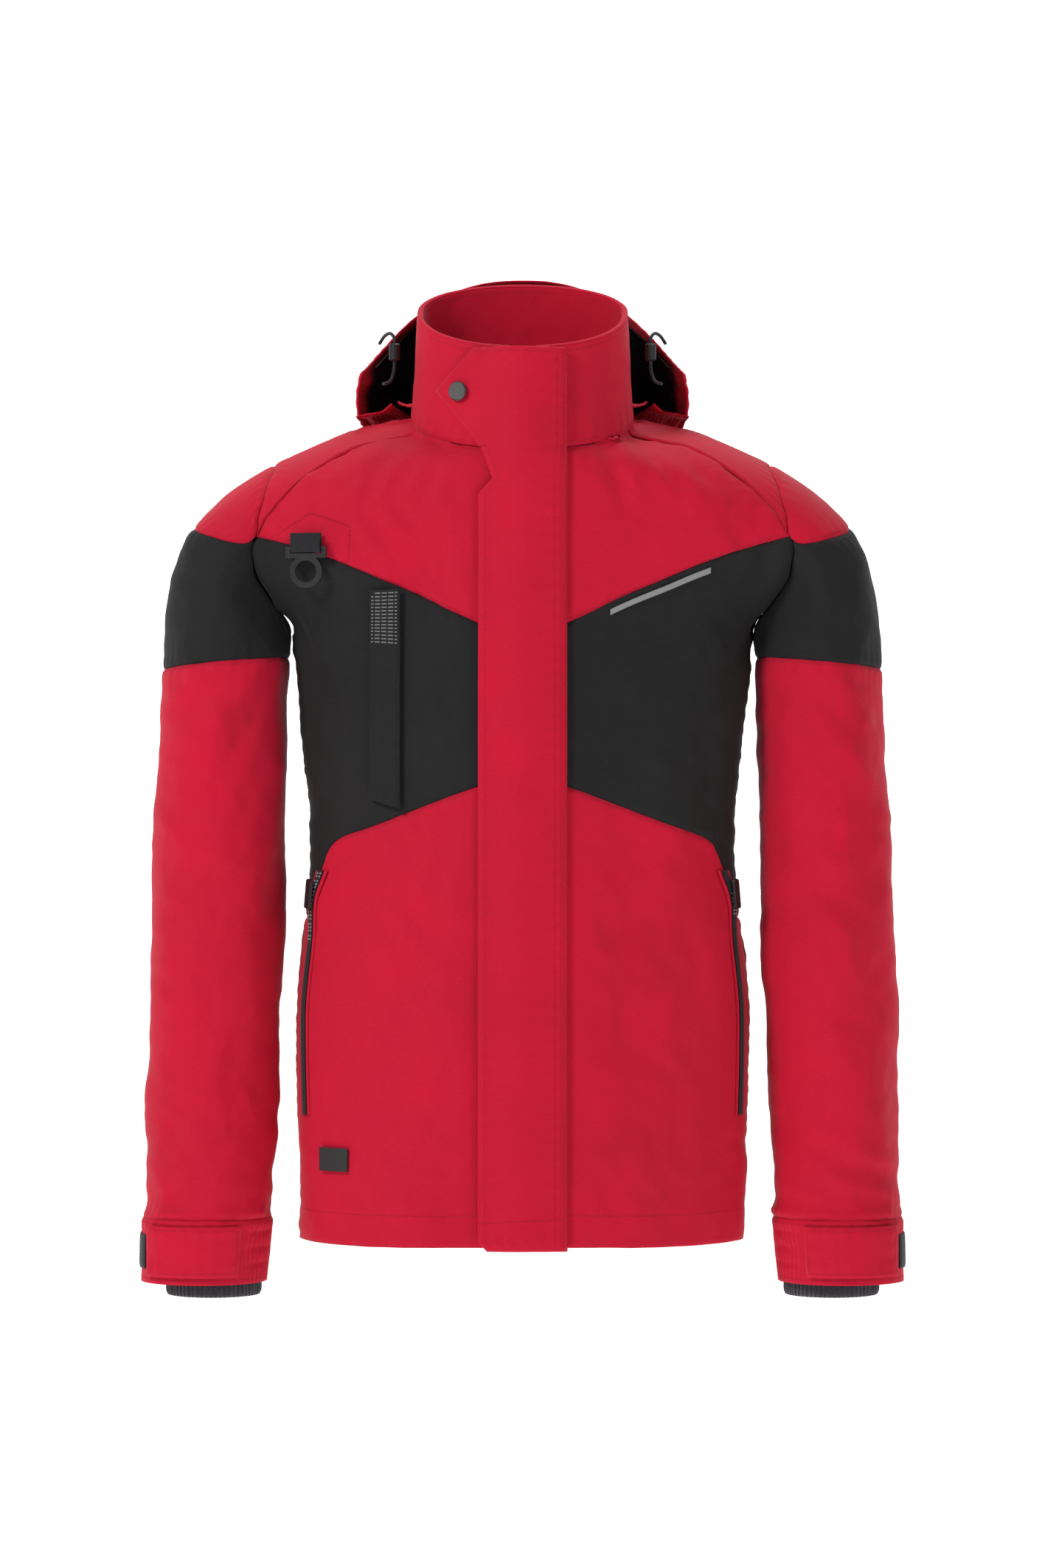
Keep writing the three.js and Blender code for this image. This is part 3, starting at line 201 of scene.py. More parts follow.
def solid_material(name, colour, roughness, metallic=0.0, grain=900, bump=0.15, spread=0.15):
    """Moulded plastic, coated metal or rubber: fine grain and slightly uneven gloss."""
    mat, nodes, links, shader = new_material(name)
    calc = calculator(nodes, links)
    where = nodes.new("ShaderNodeTexCoord")
    fine = nodes.new("ShaderNodeTexNoise")
    fine.inputs["Scale"].default_value = grain
    broad = nodes.new("ShaderNodeTexNoise")
    broad.inputs["Scale"].default_value = 60
    for node in (fine, broad):
        links.new(where.outputs["Object"], node.inputs[0])
    dark = [c * (1 - spread) for c in colour]
    light = [c * (1 + spread) for c in colour]
    links.new(two_tone(nodes, links, broad.outputs[0], dark, light), shader.inputs["Base Color"])
    rough = calc("ADD", calc("MULTIPLY", broad.outputs[0], 0.16),
                      roughness - 0.08)
    links.new(rough, shader.inputs["Roughness"])
    shader.inputs["Metallic"].default_value = metallic
    bumped = nodes.new("ShaderNodeBump")
    bumped.inputs["Strength"].default_value = bump
    bumped.inputs["Distance"].default_value = 0.0001
    links.new(fine.outputs[0], bumped.inputs["Height"])
    links.new(bumped.outputs[0], shader.inputs["Normal"])
    return mat


RED = cloth_material("red_shell", (0.53, 0.003, 0.027), 0.75, sheen=0.05)
FACING = cloth_material("dark_red_facing", (0.5, 0.003, 0.024), 0.88, bump=0.25, sheen=0.1)
BLACK = cloth_material("black_shell", (0.014, 0.0135, 0.0138), 0.78, spread=0.25, sheen=0.03)
LINING = cloth_material("black_lining", (0.008, 0.008, 0.009), 0.35, spread=0.3, bump=0.1, sheen=0)
KNIT = cloth_material("knit", (0.036, 0.034, 0.04), 0.9, pitch=2.2, bump=0.8, spread=0.25, sheen=0.3)
WEBBING = cloth_material("webbing", (0.013, 0.013, 0.015), 0.7, pitch=1.6, bump=0.8, spread=0.3)
REFLECT = cloth_material("reflective", (0.24, 0.24, 0.245), 0.4, pitch=1.2, bump=0.3, spread=0.1)
PRINT = cloth_material("reflective_print", (0.16, 0.16, 0.165), 0.45, bump=0.1, spread=0.15)
# Red thread set much darker than the red cloth: its own red plus painted shade for the stitch lines sunk into
# the seams.
RED_THREAD_PAINTED_SHADE = solid_material("red_thread", (0.30, 0.003, 0.014), 0.8, grain=3000)
BLACK_THREAD = solid_material("black_thread", (0.006, 0.006, 0.006), 0.8, grain=3000)
PLASTIC = solid_material("black_plastic", (0.012, 0.012, 0.013), 0.42)
GUNMETAL = solid_material("gunmetal", (0.085, 0.08, 0.08), 0.42, metallic=0.6, grain=1500)
RUBBER = solid_material("rubber", (0.015, 0.015, 0.016), 0.55, grain=1500, bump=0.3)


# ---- the body's surface
BODY_LENGTH, COLLAR_TOP = 715.0, 811.0
ARMPIT_Z, RAGLAN_Z, ARMHOLE_TOP, WIDEST_Z = 530.0, 619.0, 678.0, 612.0
SEAM_HALF, CHEST_SEAM_SIDE, RAGLAN_NECK_ANGLE = 11.0, 282.0, 76.0
CUFF_SEAM_Z = 17.0


def curve_through(points):
    xs, ys = np.array(points, float).T
    rise = np.diff(ys) / np.diff(xs)
    slope = np.zeros(len(xs))
    slope[0], slope[-1] = rise[0], rise[-1]
    for i in range(1, len(xs) - 1):
        if rise[i - 1] * rise[i] > 0:
            slope[i] = 2 * rise[i - 1] * rise[i] / (rise[i - 1] + rise[i])

    def value(x):
        x = np.asarray(x, float)
        i = np.clip(np.searchsorted(xs, x) - 1, 0, len(xs) - 2)
        step = xs[i + 1] - xs[i]
        t = np.clip((x - xs[i]) / step, 0, 1)
        s = t - 1
        return ((1 + 2 * t) * s * s * ys[i] + t * s * s * step * slope[i]
                + t * t * (3 - 2 * t) * ys[i + 1] + t * t * s * step * slope[i + 1])
    return value


half_width = curve_through([
    (0, 198), (190, 203), (330, 190), (460, 201), (530, 207), (612, 293), (632, 284), (651, 264),
    (671, 234), (690, 195), (705, 155), (715, 98), (811, 93)])
tilt = curve_through([(0, 0), (560, 0), (715, 0.35), (811, 0.475)])
squareness = curve_through([(0, 2.4), (690, 2.4), (715, 2.1), (811, 2.1)])
back_depth = curve_through([
    (0, 118), (190, 120), (330, 112), (460, 120), (560, 120), (612, 114), (671, 96), (715, 68), (811, 62)])


def front_depth(h):
    return (128 - 0.0621 * h) / (1 - 0.0621 * tilt(h))


def surface(angle, h):
    angle, h = np.broadcast_arrays(np.asarray(angle, float), np.asarray(h, float))
    power = 2 / squareness(h)
    s, c = np.sin(np.radians(angle)), np.cos(np.radians(angle))
    x = half_width(h) * np.sign(s) * np.abs(s) ** power
    y = -np.where(c > 0, front_depth(h), back_depth(h)) * np.sign(c) * np.abs(c) ** power
    return np.stack([x, y, h + tilt(h) * y], -1)


def unit(v):
    return v / np.maximum(np.linalg.norm(v, axis=-1, keepdims=True), 1e-9)


def surface_normal(angle, h):
    h = np.asarray(h, float)
    low = np.where(h > BODY_LENGTH, np.maximum(h - 2, BODY_LENGTH), h - 2)
    high = np.where(h > BODY_LENGTH, h + 2, np.minimum(h + 2, BODY_LENGTH))
    along = surface(angle + 2, h) - surface(angle - 2, h)
    up = surface(angle, np.minimum(high, COLLAR_TOP)) - surface(angle, low)
    return unit(np.cross(along, up))


def lifted(angle, h, lift):
    angle, h, lift = np.broadcast_arrays(*(np.asarray(v, float) for v in (angle, h, lift)))
    return surface(angle, h) + surface_normal(angle, h) * lift[..., None]


def angle_of(x, h):
    share = np.minimum(1, np.abs(x) / half_width(h))
    return np.sign(x) * np.degrees(np.arcsin(share ** (squareness(h) / 2)))


def front_at(x, z):
    x, z = np.broadcast_arrays(np.asarray(x, float), np.asarray(z, float))
    low, high = z - 5, np.minimum(z + 90, COLLAR_TOP)
    for _ in range(40):
        h = (low + high) / 2
        outside = (h > WIDEST_Z) & (np.abs(x) >= half_width(h))
        over = outside | (surface(angle_of(x, h), h)[..., 2] > z)
        low, high = np.where(over, low, h), np.where(over, h, high)
    return np.stack([angle_of(x, low), low], -1)


def smooth_line(points, steps):
    """steps + 1 points on a smooth line through [angle, height] points."""
    p = np.array(points, float)
    q = np.vstack([2 * p[0] - p[1], p, 2 * p[-1] - p[-2]])
    t = np.linspace(0, len(p) - 1, steps + 1)
    i = np.minimum(t.astype(int), len(p) - 2)
    f = (t - i)[:, None]
    a, b, c, d = q[i], q[i + 1], q[i + 2], q[i + 3]
    return 0.5 * (2 * b + (c - a) * f + (2 * a - 5 * b + 4 * c - d) * f ** 2
                  + (3 * b - a - 3 * c + d) * f ** 3)


def to_back(line):
    return np.stack([180 - line[:, 0], line[:, 1]], -1)


def to_right(line):
    return np.stack([360 - line[:, 0], line[:, 1]], -1)


def line(a, b, steps):
    return np.linspace(a, b, steps + 1)


def between(bottom, top, left, right):
    u = np.linspace(0, 1, len(bottom))[None, :, None]
    v = ((right[:, 1] - right[0, 1]) / (right[-1, 1] - right[0, 1]))[:, None, None]
    return (bottom[None] * (1 - v) + top[None] * v + left[:, None] * (1 - u) + right[:, None] * u
            - (bottom[0] * (1 - u) + bottom[-1] * u) * (1 - v) - (top[0] * (1 - u) + top[-1] * u) * v)


# ---- seams
FINE = 2                     # fine grid steps for each step of the simulated grid
ACROSS, LOW_ROWS, SIDE_ROWS, HOLE_LOW, HOLE_UP, RAGLAN_ROWS = (n * FINE for n in (32, 46, 40, 20, 16, 24))
armhole_share = curve_through([
    (530, 1), (550, 0.975), (575, 0.905), (600, 238 / float(half_width(600))),
    (619, 235 / float(half_width(619))), (650, 0.87), (678, 1)])


def armhole_front(share):
    share = np.asarray(share, float)
    corner_share = 5 / 9
    low = ARMPIT_Z + (RAGLAN_Z - ARMPIT_Z) * (1 - np.cos(share / corner_share * np.pi / 2))
    up = RAGLAN_Z + (ARMHOLE_TOP - RAGLAN_Z) * np.sin((share - corner_share) / (1 - corner_share) * np.pi / 2)
    h = np.where(share < corner_share, low, up)
    return np.stack([np.degrees(np.arcsin(np.minimum(1, armhole_share(h)) ** (squareness(h) / 2))), h], -1)


lower_armhole = armhole_front(np.linspace(0, 5 / 9, HOLE_LOW + 1))
upper_armhole = armhole_front(np.linspace(5 / 9, 1, HOLE_UP + 1))
lower_armhole[-1] = upper_armhole[0]
corner = upper_armhole[0]
s = 1 - (1 - np.linspace(0, 1, RAGLAN_ROWS + 1)) ** 1.5
raglan = np.stack([corner[0] + (RAGLAN_NECK_ANGLE - corner[0]) * s ** 2.2,
                   RAGLAN_Z + (BODY_LENGTH - RAGLAN_Z) * s], -1)


def yoke_seam():
    end = surface(*corner)
    miss = end[2] - (516 + 0.485 * end[0])
    t = np.linspace(0, 1, ACROSS + 1)
    x = SEAM_HALF + (end[0] - SEAM_HALF) * t
    seam = front_at(x, 516 + 0.485 * x + miss * t ** 3)
    seam[-1] = corner
    return seam


def chest_seam():
    x = np.linspace(SEAM_HALF, 168, 6)
    front = front_at(x, 404 - 0.25 * x - 0.0005 * x * x)
    turn = front_at(175, 335)
    tail = [turn, (turn[0] + (74 - turn[0]) * 0.7, 302), (75, 285), (82, 282), (90, 282)]
    return smooth_line(np.vstack([front, tail]), ACROSS)


def centre_front(x, low, high, pace):
    h = low + (high - low) * (pace[:, 1] - pace[0, 1]) / (pace[-1, 1] - pace[0, 1])
    return np.stack([angle_of(x, h), h], -1)


yoke_line, chest_line = yoke_seam(), chest_seam()
side_low = line((90, 0), (90, CHEST_SEAM_SIDE), LOW_ROWS)
armhole_side = np.vstack([line((90, CHEST_SEAM_SIDE), (90, ARMPIT_Z), SIDE_ROWS), lower_armhole[1:]])

grids = {}
hem = np.stack([chest_line[:, 0], np.zeros(ACROSS + 1)], -1)
hem[0] = (float(angle_of(SEAM_HALF, 0)), 0)
neck = line((float(angle_of(SEAM_HALF, BODY_LENGTH)), BODY_LENGTH), (RAGLAN_NECK_ANGLE, BODY_LENGTH), ACROSS)
chest_start, yoke_start = chest_line[0, 1], yoke_line[0, 1]
halves = {
    "front_lower": between(hem, chest_line, centre_front(SEAM_HALF, 0, chest_start, side_low), side_low),
    "front_chest": between(chest_line, yoke_line,
                           centre_front(SEAM_HALF, chest_start, yoke_start, armhole_side), armhole_side),
    "front_yoke": between(yoke_line, neck, centre_front(SEAM_HALF, yoke_start, BODY_LENGTH, raglan), raglan),
}
outer = np.vstack([upper_armhole, to_back(upper_armhole)[::-1][1:]])
neck_top = line((RAGLAN_NECK_ANGLE, BODY_LENGTH), (180 - RAGLAN_NECK_ANGLE, BODY_LENGTH), 2 * HOLE_UP)
halves["shoulder"] = between(outer, neck_top, raglan, to_back(raglan))
for name, grid in halves.items():
    grids[name + "_left"] = grid
    grids[name + "_right"] = (grid * [-1, 1])[:, ::-1]


def across_back(start, low, middle):
    t = np.linspace(0, 1, 2 * ACROSS + 1)
    return np.stack([start + (360 - 2 * start) * t, low + (middle - low) * np.sin(np.pi * t) ** 2], -1)


back_chest = across_back(90, CHEST_SEAM_SIDE, 345)
back_yoke = across_back(180 - corner[0], RAGLAN_Z, 600)
back_neck = across_back(180 - RAGLAN_NECK_ANGLE, BODY_LENGTH, BODY_LENGTH)
mid_side, yoke_side = to_back(armhole_side), to_back(raglan)
grids["back_lower"] = between(across_back(90, 0, 0), back_chest, side_low, to_right(side_low))
grids["back_middle"] = between(back_chest, back_yoke, mid_side, to_right(mid_side))
grids["back_yoke"] = between(back_yoke, back_neck, yoke_side, to_right(yoke_side))
shapes = {name: surface(g[..., 0], g[..., 1]) for name, g in grids.items()}

# ---- sleeves
BAND_ROWS, ARM_ROWS = 26 * FINE, 70 * FINE
JOINT = 5 / 18


def loop_shares():
    low = np.linspace(0, JOINT, HOLE_LOW + 1)
    up = np.linspace(JOINT, 0.5, HOLE_UP + 1)[1:]
    half = np.concatenate([low, up])
    return np.concatenate([half, 1 - half[::-1][1:]])


def armhole_point(u):
    front = u <= 0.5
    ah = armhole_front(np.where(front, 2 * u, 2 - 2 * u))
    return surface(np.where(front, ah[..., 0], 180 - ah[..., 0]), ah[..., 1])


sleeve_value = {key: curve_through(list(zip((CUFF_SEAM_Z, 281, 505), values))) for key, values in {
    "x": (276.5, 272, 264.5), "y": (-15, -4, 5), "wide": (57, 59, 55.5), "deep": (54, 68, 76)}.items()}


def ring_point(u, x, y, wide, deep, z):
    a = 2 * np.pi * u
    return np.stack(np.broadcast_arrays(x - wide * np.cos(a), y - deep * np.sin(a), z), -1)


def tube_point(u, z):
    return ring_point(u, *(sleeve_value[k](z) for k in ("x", "y", "wide", "deep")), z)


def sleeve_point(u, t):
    """t: 0 at the armhole, 1 at the lower edge of the black band, 2 at the cuff seam."""
    u, t = np.broadcast_arrays(np.asarray(u, float), np.asarray(t, float))
    low_z = 505 + 5 * np.cos(2 * np.pi * u)
    tube = tube_point(u, low_z + (CUFF_SEAM_Z - low_z) * np.maximum(t - 1, 0))
    top = np.sin(np.pi * u) ** 2
    out = unit(np.stack([0.35 + 0.55 * top, -0.25 * np.sin(2 * np.pi * u), -(0.95 - 0.52 * top)], -1))
    p0, p3 = armhole_point(u), tube_point(u, low_z)
    p1 = p0 + out * (6 + 82 * top)[..., None]
    p2 = p3 + np.stack([0 * u, 0 * u, 7 + 93 * top], -1)
    w = np.clip(t, 0, 1)[..., None]
    bezier = (1 - w) ** 3 * p0 + 3 * w * (1 - w) ** 2 * p1 + 3 * w * w * (1 - w) * p2 + w ** 3 * p3
    return np.where((t > 1)[..., None], tube, bezier)


def cap_edge(u):
    a = (u - JOINT) / (1 - 2 * JOINT)
    inside = (a > -0.001) & (a < 1.001)
    return np.where(inside, 0.05 + 0.37 * np.sin(np.pi * np.clip(a, 0, 1)) ** 0.8, 0)


us = loop_shares()
down = np.linspace(0, 1, BAND_ROWS + 1)[:, None]
arm_t = 1 + np.linspace(0, 1, ARM_ROWS + 1)[:, None]
sleeve_t = np.broadcast_to(np.vstack([down, arm_t[1:]]), (BAND_ROWS + ARM_ROWS + 1, len(us)))
sleeve_left = sleeve_point(np.broadcast_to(us, sleeve_t.shape), sleeve_t)
shapes["sleeve_left"] = sleeve_left[::-1]
shapes["sleeve_right"] = (sleeve_left * [-1, 1, 1])[::-1, ::-1]


# ---- cloth simulation of body and sleeves as one garment
CLOTH_CAP = 4.5              # how far the settling cloth may move
CLOTH_FRAMES = 22


def grid_faces(rows, cols, start=0):
    i = np.arange(rows * cols).reshape(rows, cols) + start
    return np.stack([i[:-1, :-1], i[:-1, 1:], i[1:, 1:], i[1:, :-1]], -1).reshape(-1, 4)


def make_mesh(name, points, faces):
    mesh = bpy.data.meshes.new(name)
    rows = faces.tolist() if isinstance(faces, np.ndarray) else faces
    mesh.from_pydata(np.asarray(points).reshape(-1, 3).tolist(), [], rows)
    obj = bpy.data.objects.new(name, mesh)
    bpy.context.scene.collection.objects.link(obj)
    return obj


def grid_normals(p):
    return unit(np.cross(np.gradient(p, axis=1), np.gradient(p, axis=0)))


def upsample(d, rows, cols):
    """A coarse field on the fine grid, smoothed between its points."""
    for axis, n in ((0, rows), (1, cols)):
        d = np.moveaxis(d, axis, 0)
        full = np.repeat(d, FINE, axis=0)[:n]
        t = (np.arange(n) % FINE / FINE).reshape(-1, *[1] * (d.ndim - 1))
        nxt = np.repeat(np.roll(d, -1, axis=0), FINE, axis=0)[:n]
        full = full * (1 - t) + nxt * t
        inner = full.copy()
        inner[1:-1] = 0.25 * full[:-2] + 0.5 * full[1:-1] + 0.25 * full[2:]
        d = np.moveaxis(inner, 0, axis)
    return d


def simulate(shapes):
    coarse = {n: p[::FINE, ::FINE] for n, p in shapes.items()}
    index, points, faces, where = {}, [], [], {}
    for name, p in coarse.items():
        ids = np.empty(p.shape[:2], int)
        for j in range(p.shape[0]):
            for i in range(p.shape[1]):
                key = tuple(np.round(p[j, i] / 0.2).astype(int))
                if key not in index:
                    index[key] = len(points)
                    points.append(p[j, i])
                ids[j, i] = index[key]
        where[name] = ids
        corners = ids.ravel()[grid_faces(*ids.shape)]
        faces += [q for q in corners.tolist() if len(set(q)) == 4]
    points = np.array(points)
    garment = make_mesh("garment_sim", metres(points), faces)
    hold = garment.vertex_groups.new(name="hold")
    firm = set()
    for name, ids in where.items():
        if name.startswith(("front_yoke", "back_yoke", "shoulder")):
            firm |= set(ids[-1].tolist())
        if name.endswith("left") and name.startswith("front"):
            firm |= set(ids[:, 0].tolist())
        if name.endswith("right") and name.startswith("front"):
            firm |= set(ids[:, -1].tolist())
        if name.startswith("sleeve"):
            firm |= set(ids[0].tolist())
    loose = [i for i in range(len(points)) if i not in firm]
    hold.add(sorted(firm), 1.0, "REPLACE")
    hold.add(loose, 0.004, "REPLACE")
    cloth = garment.modifiers.new("cloth", "CLOTH")
    st = cloth.settings
    st.quality = 4
    st.mass = 0.25
    st.tension_stiffness = st.compression_stiffness = 14
    st.shear_stiffness = 6
    st.bending_stiffness = 3.0
    st.vertex_group_mass = "hold"
    st.pin_stiffness = 1.0
    st.shrink_min = st.shrink_max = -0.02
    st.effector_weights.gravity = 0.3
    cloth.collision_settings.use_collision = False
    cloth.collision_settings.use_self_collision = False
    cloth.point_cache.frame_start, cloth.point_cache.frame_end = 1, CLOTH_FRAMES
    for frame_number in range(1, CLOTH_FRAMES + 1):
        bpy.context.scene.frame_set(frame_number)
    done = garment.evaluated_get(bpy.context.evaluated_depsgraph_get())
    co = np.empty(len(points) * 3)
    done.data.vertices.foreach_get("co", co)
    moved = co.reshape(-1, 3) * 1000 - SHIFT - points
    bpy.context.scene.frame_set(1)
    bpy.data.objects.remove(garment)
    # Hardware sits on the cloth, and the storm flap covers the middle: there the cloth stays put.
    still = np.array([(-163, -95, 72), (-186, -82, 600), (-187, -46, 300), (187, -46, 300), (-186, -82, 580)])
    near = np.linalg.norm(points[:, None] - still[None], axis=2).min(1)
    keep = 1 - np.exp(-(near / 26) ** 2)
    keep *= np.where(points[:, 1] < 0, np.clip((np.abs(points[:, 0]) - 42) / 50, 0.1, 1), 1)
    size = np.linalg.norm(moved, axis=1, keepdims=True)
    moved *= keep[:, None] * np.minimum(1, CLOTH_CAP / np.maximum(size, 1e-9))
    return points, moved, {n: upsample(moved[ids], *shapes[n].shape[:2]) for n, ids in where.items()}


moves = {name: np.zeros_like(p) for name, p in shapes.items()}
tree = None
rest_points, rest_moves, moves = simulate(shapes)
tree = KDTree(len(rest_points))
for i, p in enumerate(rest_points):
    tree.insert(p, i)
tree.balance()


def draped(p):
    """Where points near the body go when the cloth settles."""
    p = np.asarray(p, float)
    if tree is None:
        return p
    out = p.reshape(-1, 3).copy()
    for q in out:
        found = tree.find_n(q, 5)
        w = np.array([1 / (d + 1.0) for _, _, d in found])
        q += (w[:, None] * rest_moves[[i for _, i, _ in found]]).sum(0) / w.sum()
    return out.reshape(p.shape)


# ---- sewn sheets
def lengths(p, axis):
    """Distance along a grid from its first row or column."""
    step = np.linalg.norm(np.diff(p, axis=axis), axis=-1)
    start = np.zeros_like(np.take(step, [0], axis=axis))
    return np.concatenate([start, np.cumsum(step, axis=axis)], axis=axis)


def sewn(p, edges, closed=False, sink=1.1, puff=0.45, pucker=0.3):
    """Sinks a sheet at its sewn edges, with a slight puff and pucker beside them."""
    n = grid_normals(p)
    if closed:
        n[:, 0] = n[:, -1] = unit(n[:, 0] + n[:, -1])
    up, along = lengths(p, 0), lengths(p, 1)
    distance = {"bottom": (up, along), "top": (up[-1:] - up, along), "left": (along, up),
                "right": (along[:, -1:] - along, up)}
    offset = np.zeros(p.shape[:2])
    for k, edge in enumerate(edges.split()):
        d, run = distance[edge]
        wave = np.sin(2 * np.pi * run / 13 + 1.7 * np.sin(run / 31 + k) + k)
        offset += -sink * np.exp(-(d / 2.2) ** 2) + (puff + pucker * wave) * (d / 6) * np.exp(1 - d / 6)
    offset = np.maximum(offset, -sink)
    return p + n * offset[..., None], n


def smooth(obj):
    obj.data.polygons.foreach_set("use_smooth", [True] * len(obj.data.polygons))


def sheet_mesh(name, outer_side, inner_side, mat, closed=False):
    """A closed sheet between two grids, with cloth coordinates in metres."""
    rows, cols = outer_side.shape[:2]
    top = grid_faces(rows, cols)
    low = grid_faces(rows, cols, rows * cols)[:, ::-1]
    i = np.arange(rows * cols).reshape(rows, cols)
    rims = [(i[0], 1), (i[-1], -1)]
    if not closed:
        rims += [(i[:, 0], -1), (i[:, -1], 1)]
    sides = []
    for line_, turn in rims:
        a, b = line_[:-1], line_[1:]
        quad = np.stack([a, a + rows * cols, b + rows * cols, b], -1)
        sides.append(quad[:, ::turn])
    faces = np.vstack([top, low, *sides])
    points = np.vstack([metres(outer_side).reshape(-1, 3), metres(inner_side).reshape(-1, 3)])
    obj = make_mesh(name, points, faces)
    uv = np.stack([lengths(outer_side, 1), lengths(outer_side, 0)], -1).reshape(-1, 2) / 1000
    set_uv(obj, np.vstack([uv, uv]))
    obj.data.materials.append(mat)
    smooth(obj)
    return obj


def set_uv(obj, per_vertex):
    layer = obj.data.uv_layers.new(name="cloth")
    loops = np.empty(len(obj.data.loops), int)
    obj.data.loops.foreach_get("vertex_index", loops)
    layer.data.foreach_set("uv", per_vertex[loops].ravel())


def piece(name, p, mat, edges="bottom top left right", thickness=1.6, closed=False, slot="red_shell", **seam):
    q, n = sewn(p, edges, closed, **seam)
    obj = sheet_mesh(name, q, q - n * thickness, mat, closed)
    return obj, q, n


def stand_for(obj, node, body):
    """obj is seen in place of a CAD node and moves with a body."""
    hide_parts(node)
    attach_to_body(obj, body)


def attach(obj, place):
    """place: a body, or "bend_left" or "bend_right" for cloth that crosses the shoulder."""
    if place.startswith("bend_"):
        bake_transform(obj)
    else:
        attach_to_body(obj, place)


# ---- stitches
threads = {}


def stitch(path, normals, place, mat, length=2.7, gap=0.9, width=0.6, height=0.32):
    """A row of stitches along a line that lies on cloth."""
    run = np.concatenate([[0], np.cumsum(np.linalg.norm(np.diff(path, axis=0), axis=1))])
    starts = np.arange(0.4, run[-1] - length, length + gap)
    if not len(starts):
        return

    def at(values, s_):
        return np.stack([np.interp(s_, run, values[:, k]) for k in range(3)], -1)
    stations = []
    for f, w in ((0, 0.45), (0.5, 1), (1, 0.45)):
        c, n = at(path, starts + f * length), unit(at(normals, starts + f * length))
        t = unit(at(path, starts + f * length + 0.4) - at(path, starts + f * length - 0.4))
        side = np.cross(n, t) * (width / 2 * w)
        stations.append((c - side - n * 0.15, c + n * height * (0.35 + 0.65 * w), c + side - n * 0.15))
    v = np.stack([q for st in stations for q in st], 1)
    face = np.array([(0, 1, 4, 3), (1, 2, 5, 4), (3, 4, 7, 6), (4, 5, 8, 7), (0, 2, 1, 1), (6, 7, 8, 8)])
    store = threads.setdefault((place, mat.name), ([], [], mat))
    base = sum(len(x) for x in store[0])
    store[0].append(v.reshape(-1, 3))
    store[1].append((face[None] + (np.arange(len(starts)) * 9)[:, None, None] + base).reshape(-1, 4))


def edge_line(q, n, edge, inset, low=0.0, high=1.0):
    """The line on a grid at a distance from one of its edges."""
    if edge in ("left", "right"):
        q, n = q.transpose(1, 0, 2), n.transpose(1, 0, 2)
    if edge in ("top", "right"):
        q, n = q[::-1], n[::-1]
    run = lengths(q, 0)
    cols = range(int(low * (q.shape[1] - 1)), int(high * (q.shape[1] - 1)) + 1)
    line_p = np.array([[np.interp(inset, run[:, i], q[:, i, k]) for k in range(3)] for i in cols])
    line_n = np.array([[np.interp(inset, run[:, i], n[:, i, k]) for k in range(3)] for i in cols])
    return line_p, line_n


def sew_threads():
    for (place, mat_name), (points, faces, mat) in threads.items():
        f = [[a for k, a in enumerate(q) if k == 0 or a != q[k - 1]] for q in np.vstack(faces).tolist()]
        obj = make_mesh(f"stitches_{place}_{mat_name}", metres(np.vstack(points)), f)
        obj.data.materials.append(mat)
        smooth(obj)
        attach(obj, place)


# ---- body panels
FOLDS = [  # (x, z, x, z, half width, depth): soft folds of the front, on the wearer's left
    (212, 566, 178, 500, 7, 3.0), (204, 546, 168, 452, 9, 2.2), (225, 625, 196, 560, 8, 2.2),
    (92, 700, 132, 660, 8, 2.0), (70, 690, 84, 640, 8, 1.6), (110, 690, 170, 655, 7, 1.4),
    (188, 430, 150, 380, 12, 1.6), (120, 300, 60, 260, 22, 1.5), (60, 200, 150, 150, 26, 1.6),
    (150, 270, 165, 120, 14, 1.4), (100, 90, 60, 20, 22, 1.5), (160, 60, 120, 10, 18, 1.2),
    (60, 470, 130, 430, 20, 1.2), (150, 560, 110, 500, 14, 1.0),
]
# Where pockets, print, piping, webbing and label lie (x, z): the cloth stays flat there.
TRIM_SPOTS = np.array([(sign * 187, z) for z in range(105, 330, 12) for sign in (-1, 1)]
                      + [(x, z) for x in (-134, -121, -108) for z in range(385, 570, 12)]
                      + [(x, 516 + 0.485 * x) for x in range(78, 170, 12)]
                      + [(x, z) for x in (-200, -186, -172) for z in (570, 590, 610)]
                      + [(x, z) for x in (-176, -163, -150) for z in (66, 78)], float)


def waves(a, b, length, seed, ridged=False):
    """Smooth seeded unevenness over two distances in mm, from -1 to 1."""
    draw = np.random.default_rng(seed)
    total = np.zeros(np.broadcast(a, b).shape)
    for _ in range(6):
        angle, phase, bend = draw.uniform(0, 2 * np.pi, 3)
        turn = 2 * np.pi / (length * draw.uniform(0.6, 1.6))
        along = (a * np.cos(angle) + b * np.sin(angle)) * turn
        across_ = (b * np.cos(angle) - a * np.sin(angle)) * turn * 0.6
        value = np.sin(along + phase + 1.1 * np.sin(across_ + bend))
        total += 1 - 2 * np.abs(value) if ridged else value
    return total / 6


def broad_waves(p):
    x, y, z = np.moveaxis(p, -1, 0)
    return (3.4 * waves(x + y, z, 140, 5) + 1.5 * waves(x, z, 52, 6, ridged=True)
            + 0.4 * waves(x, z, 18, 8))


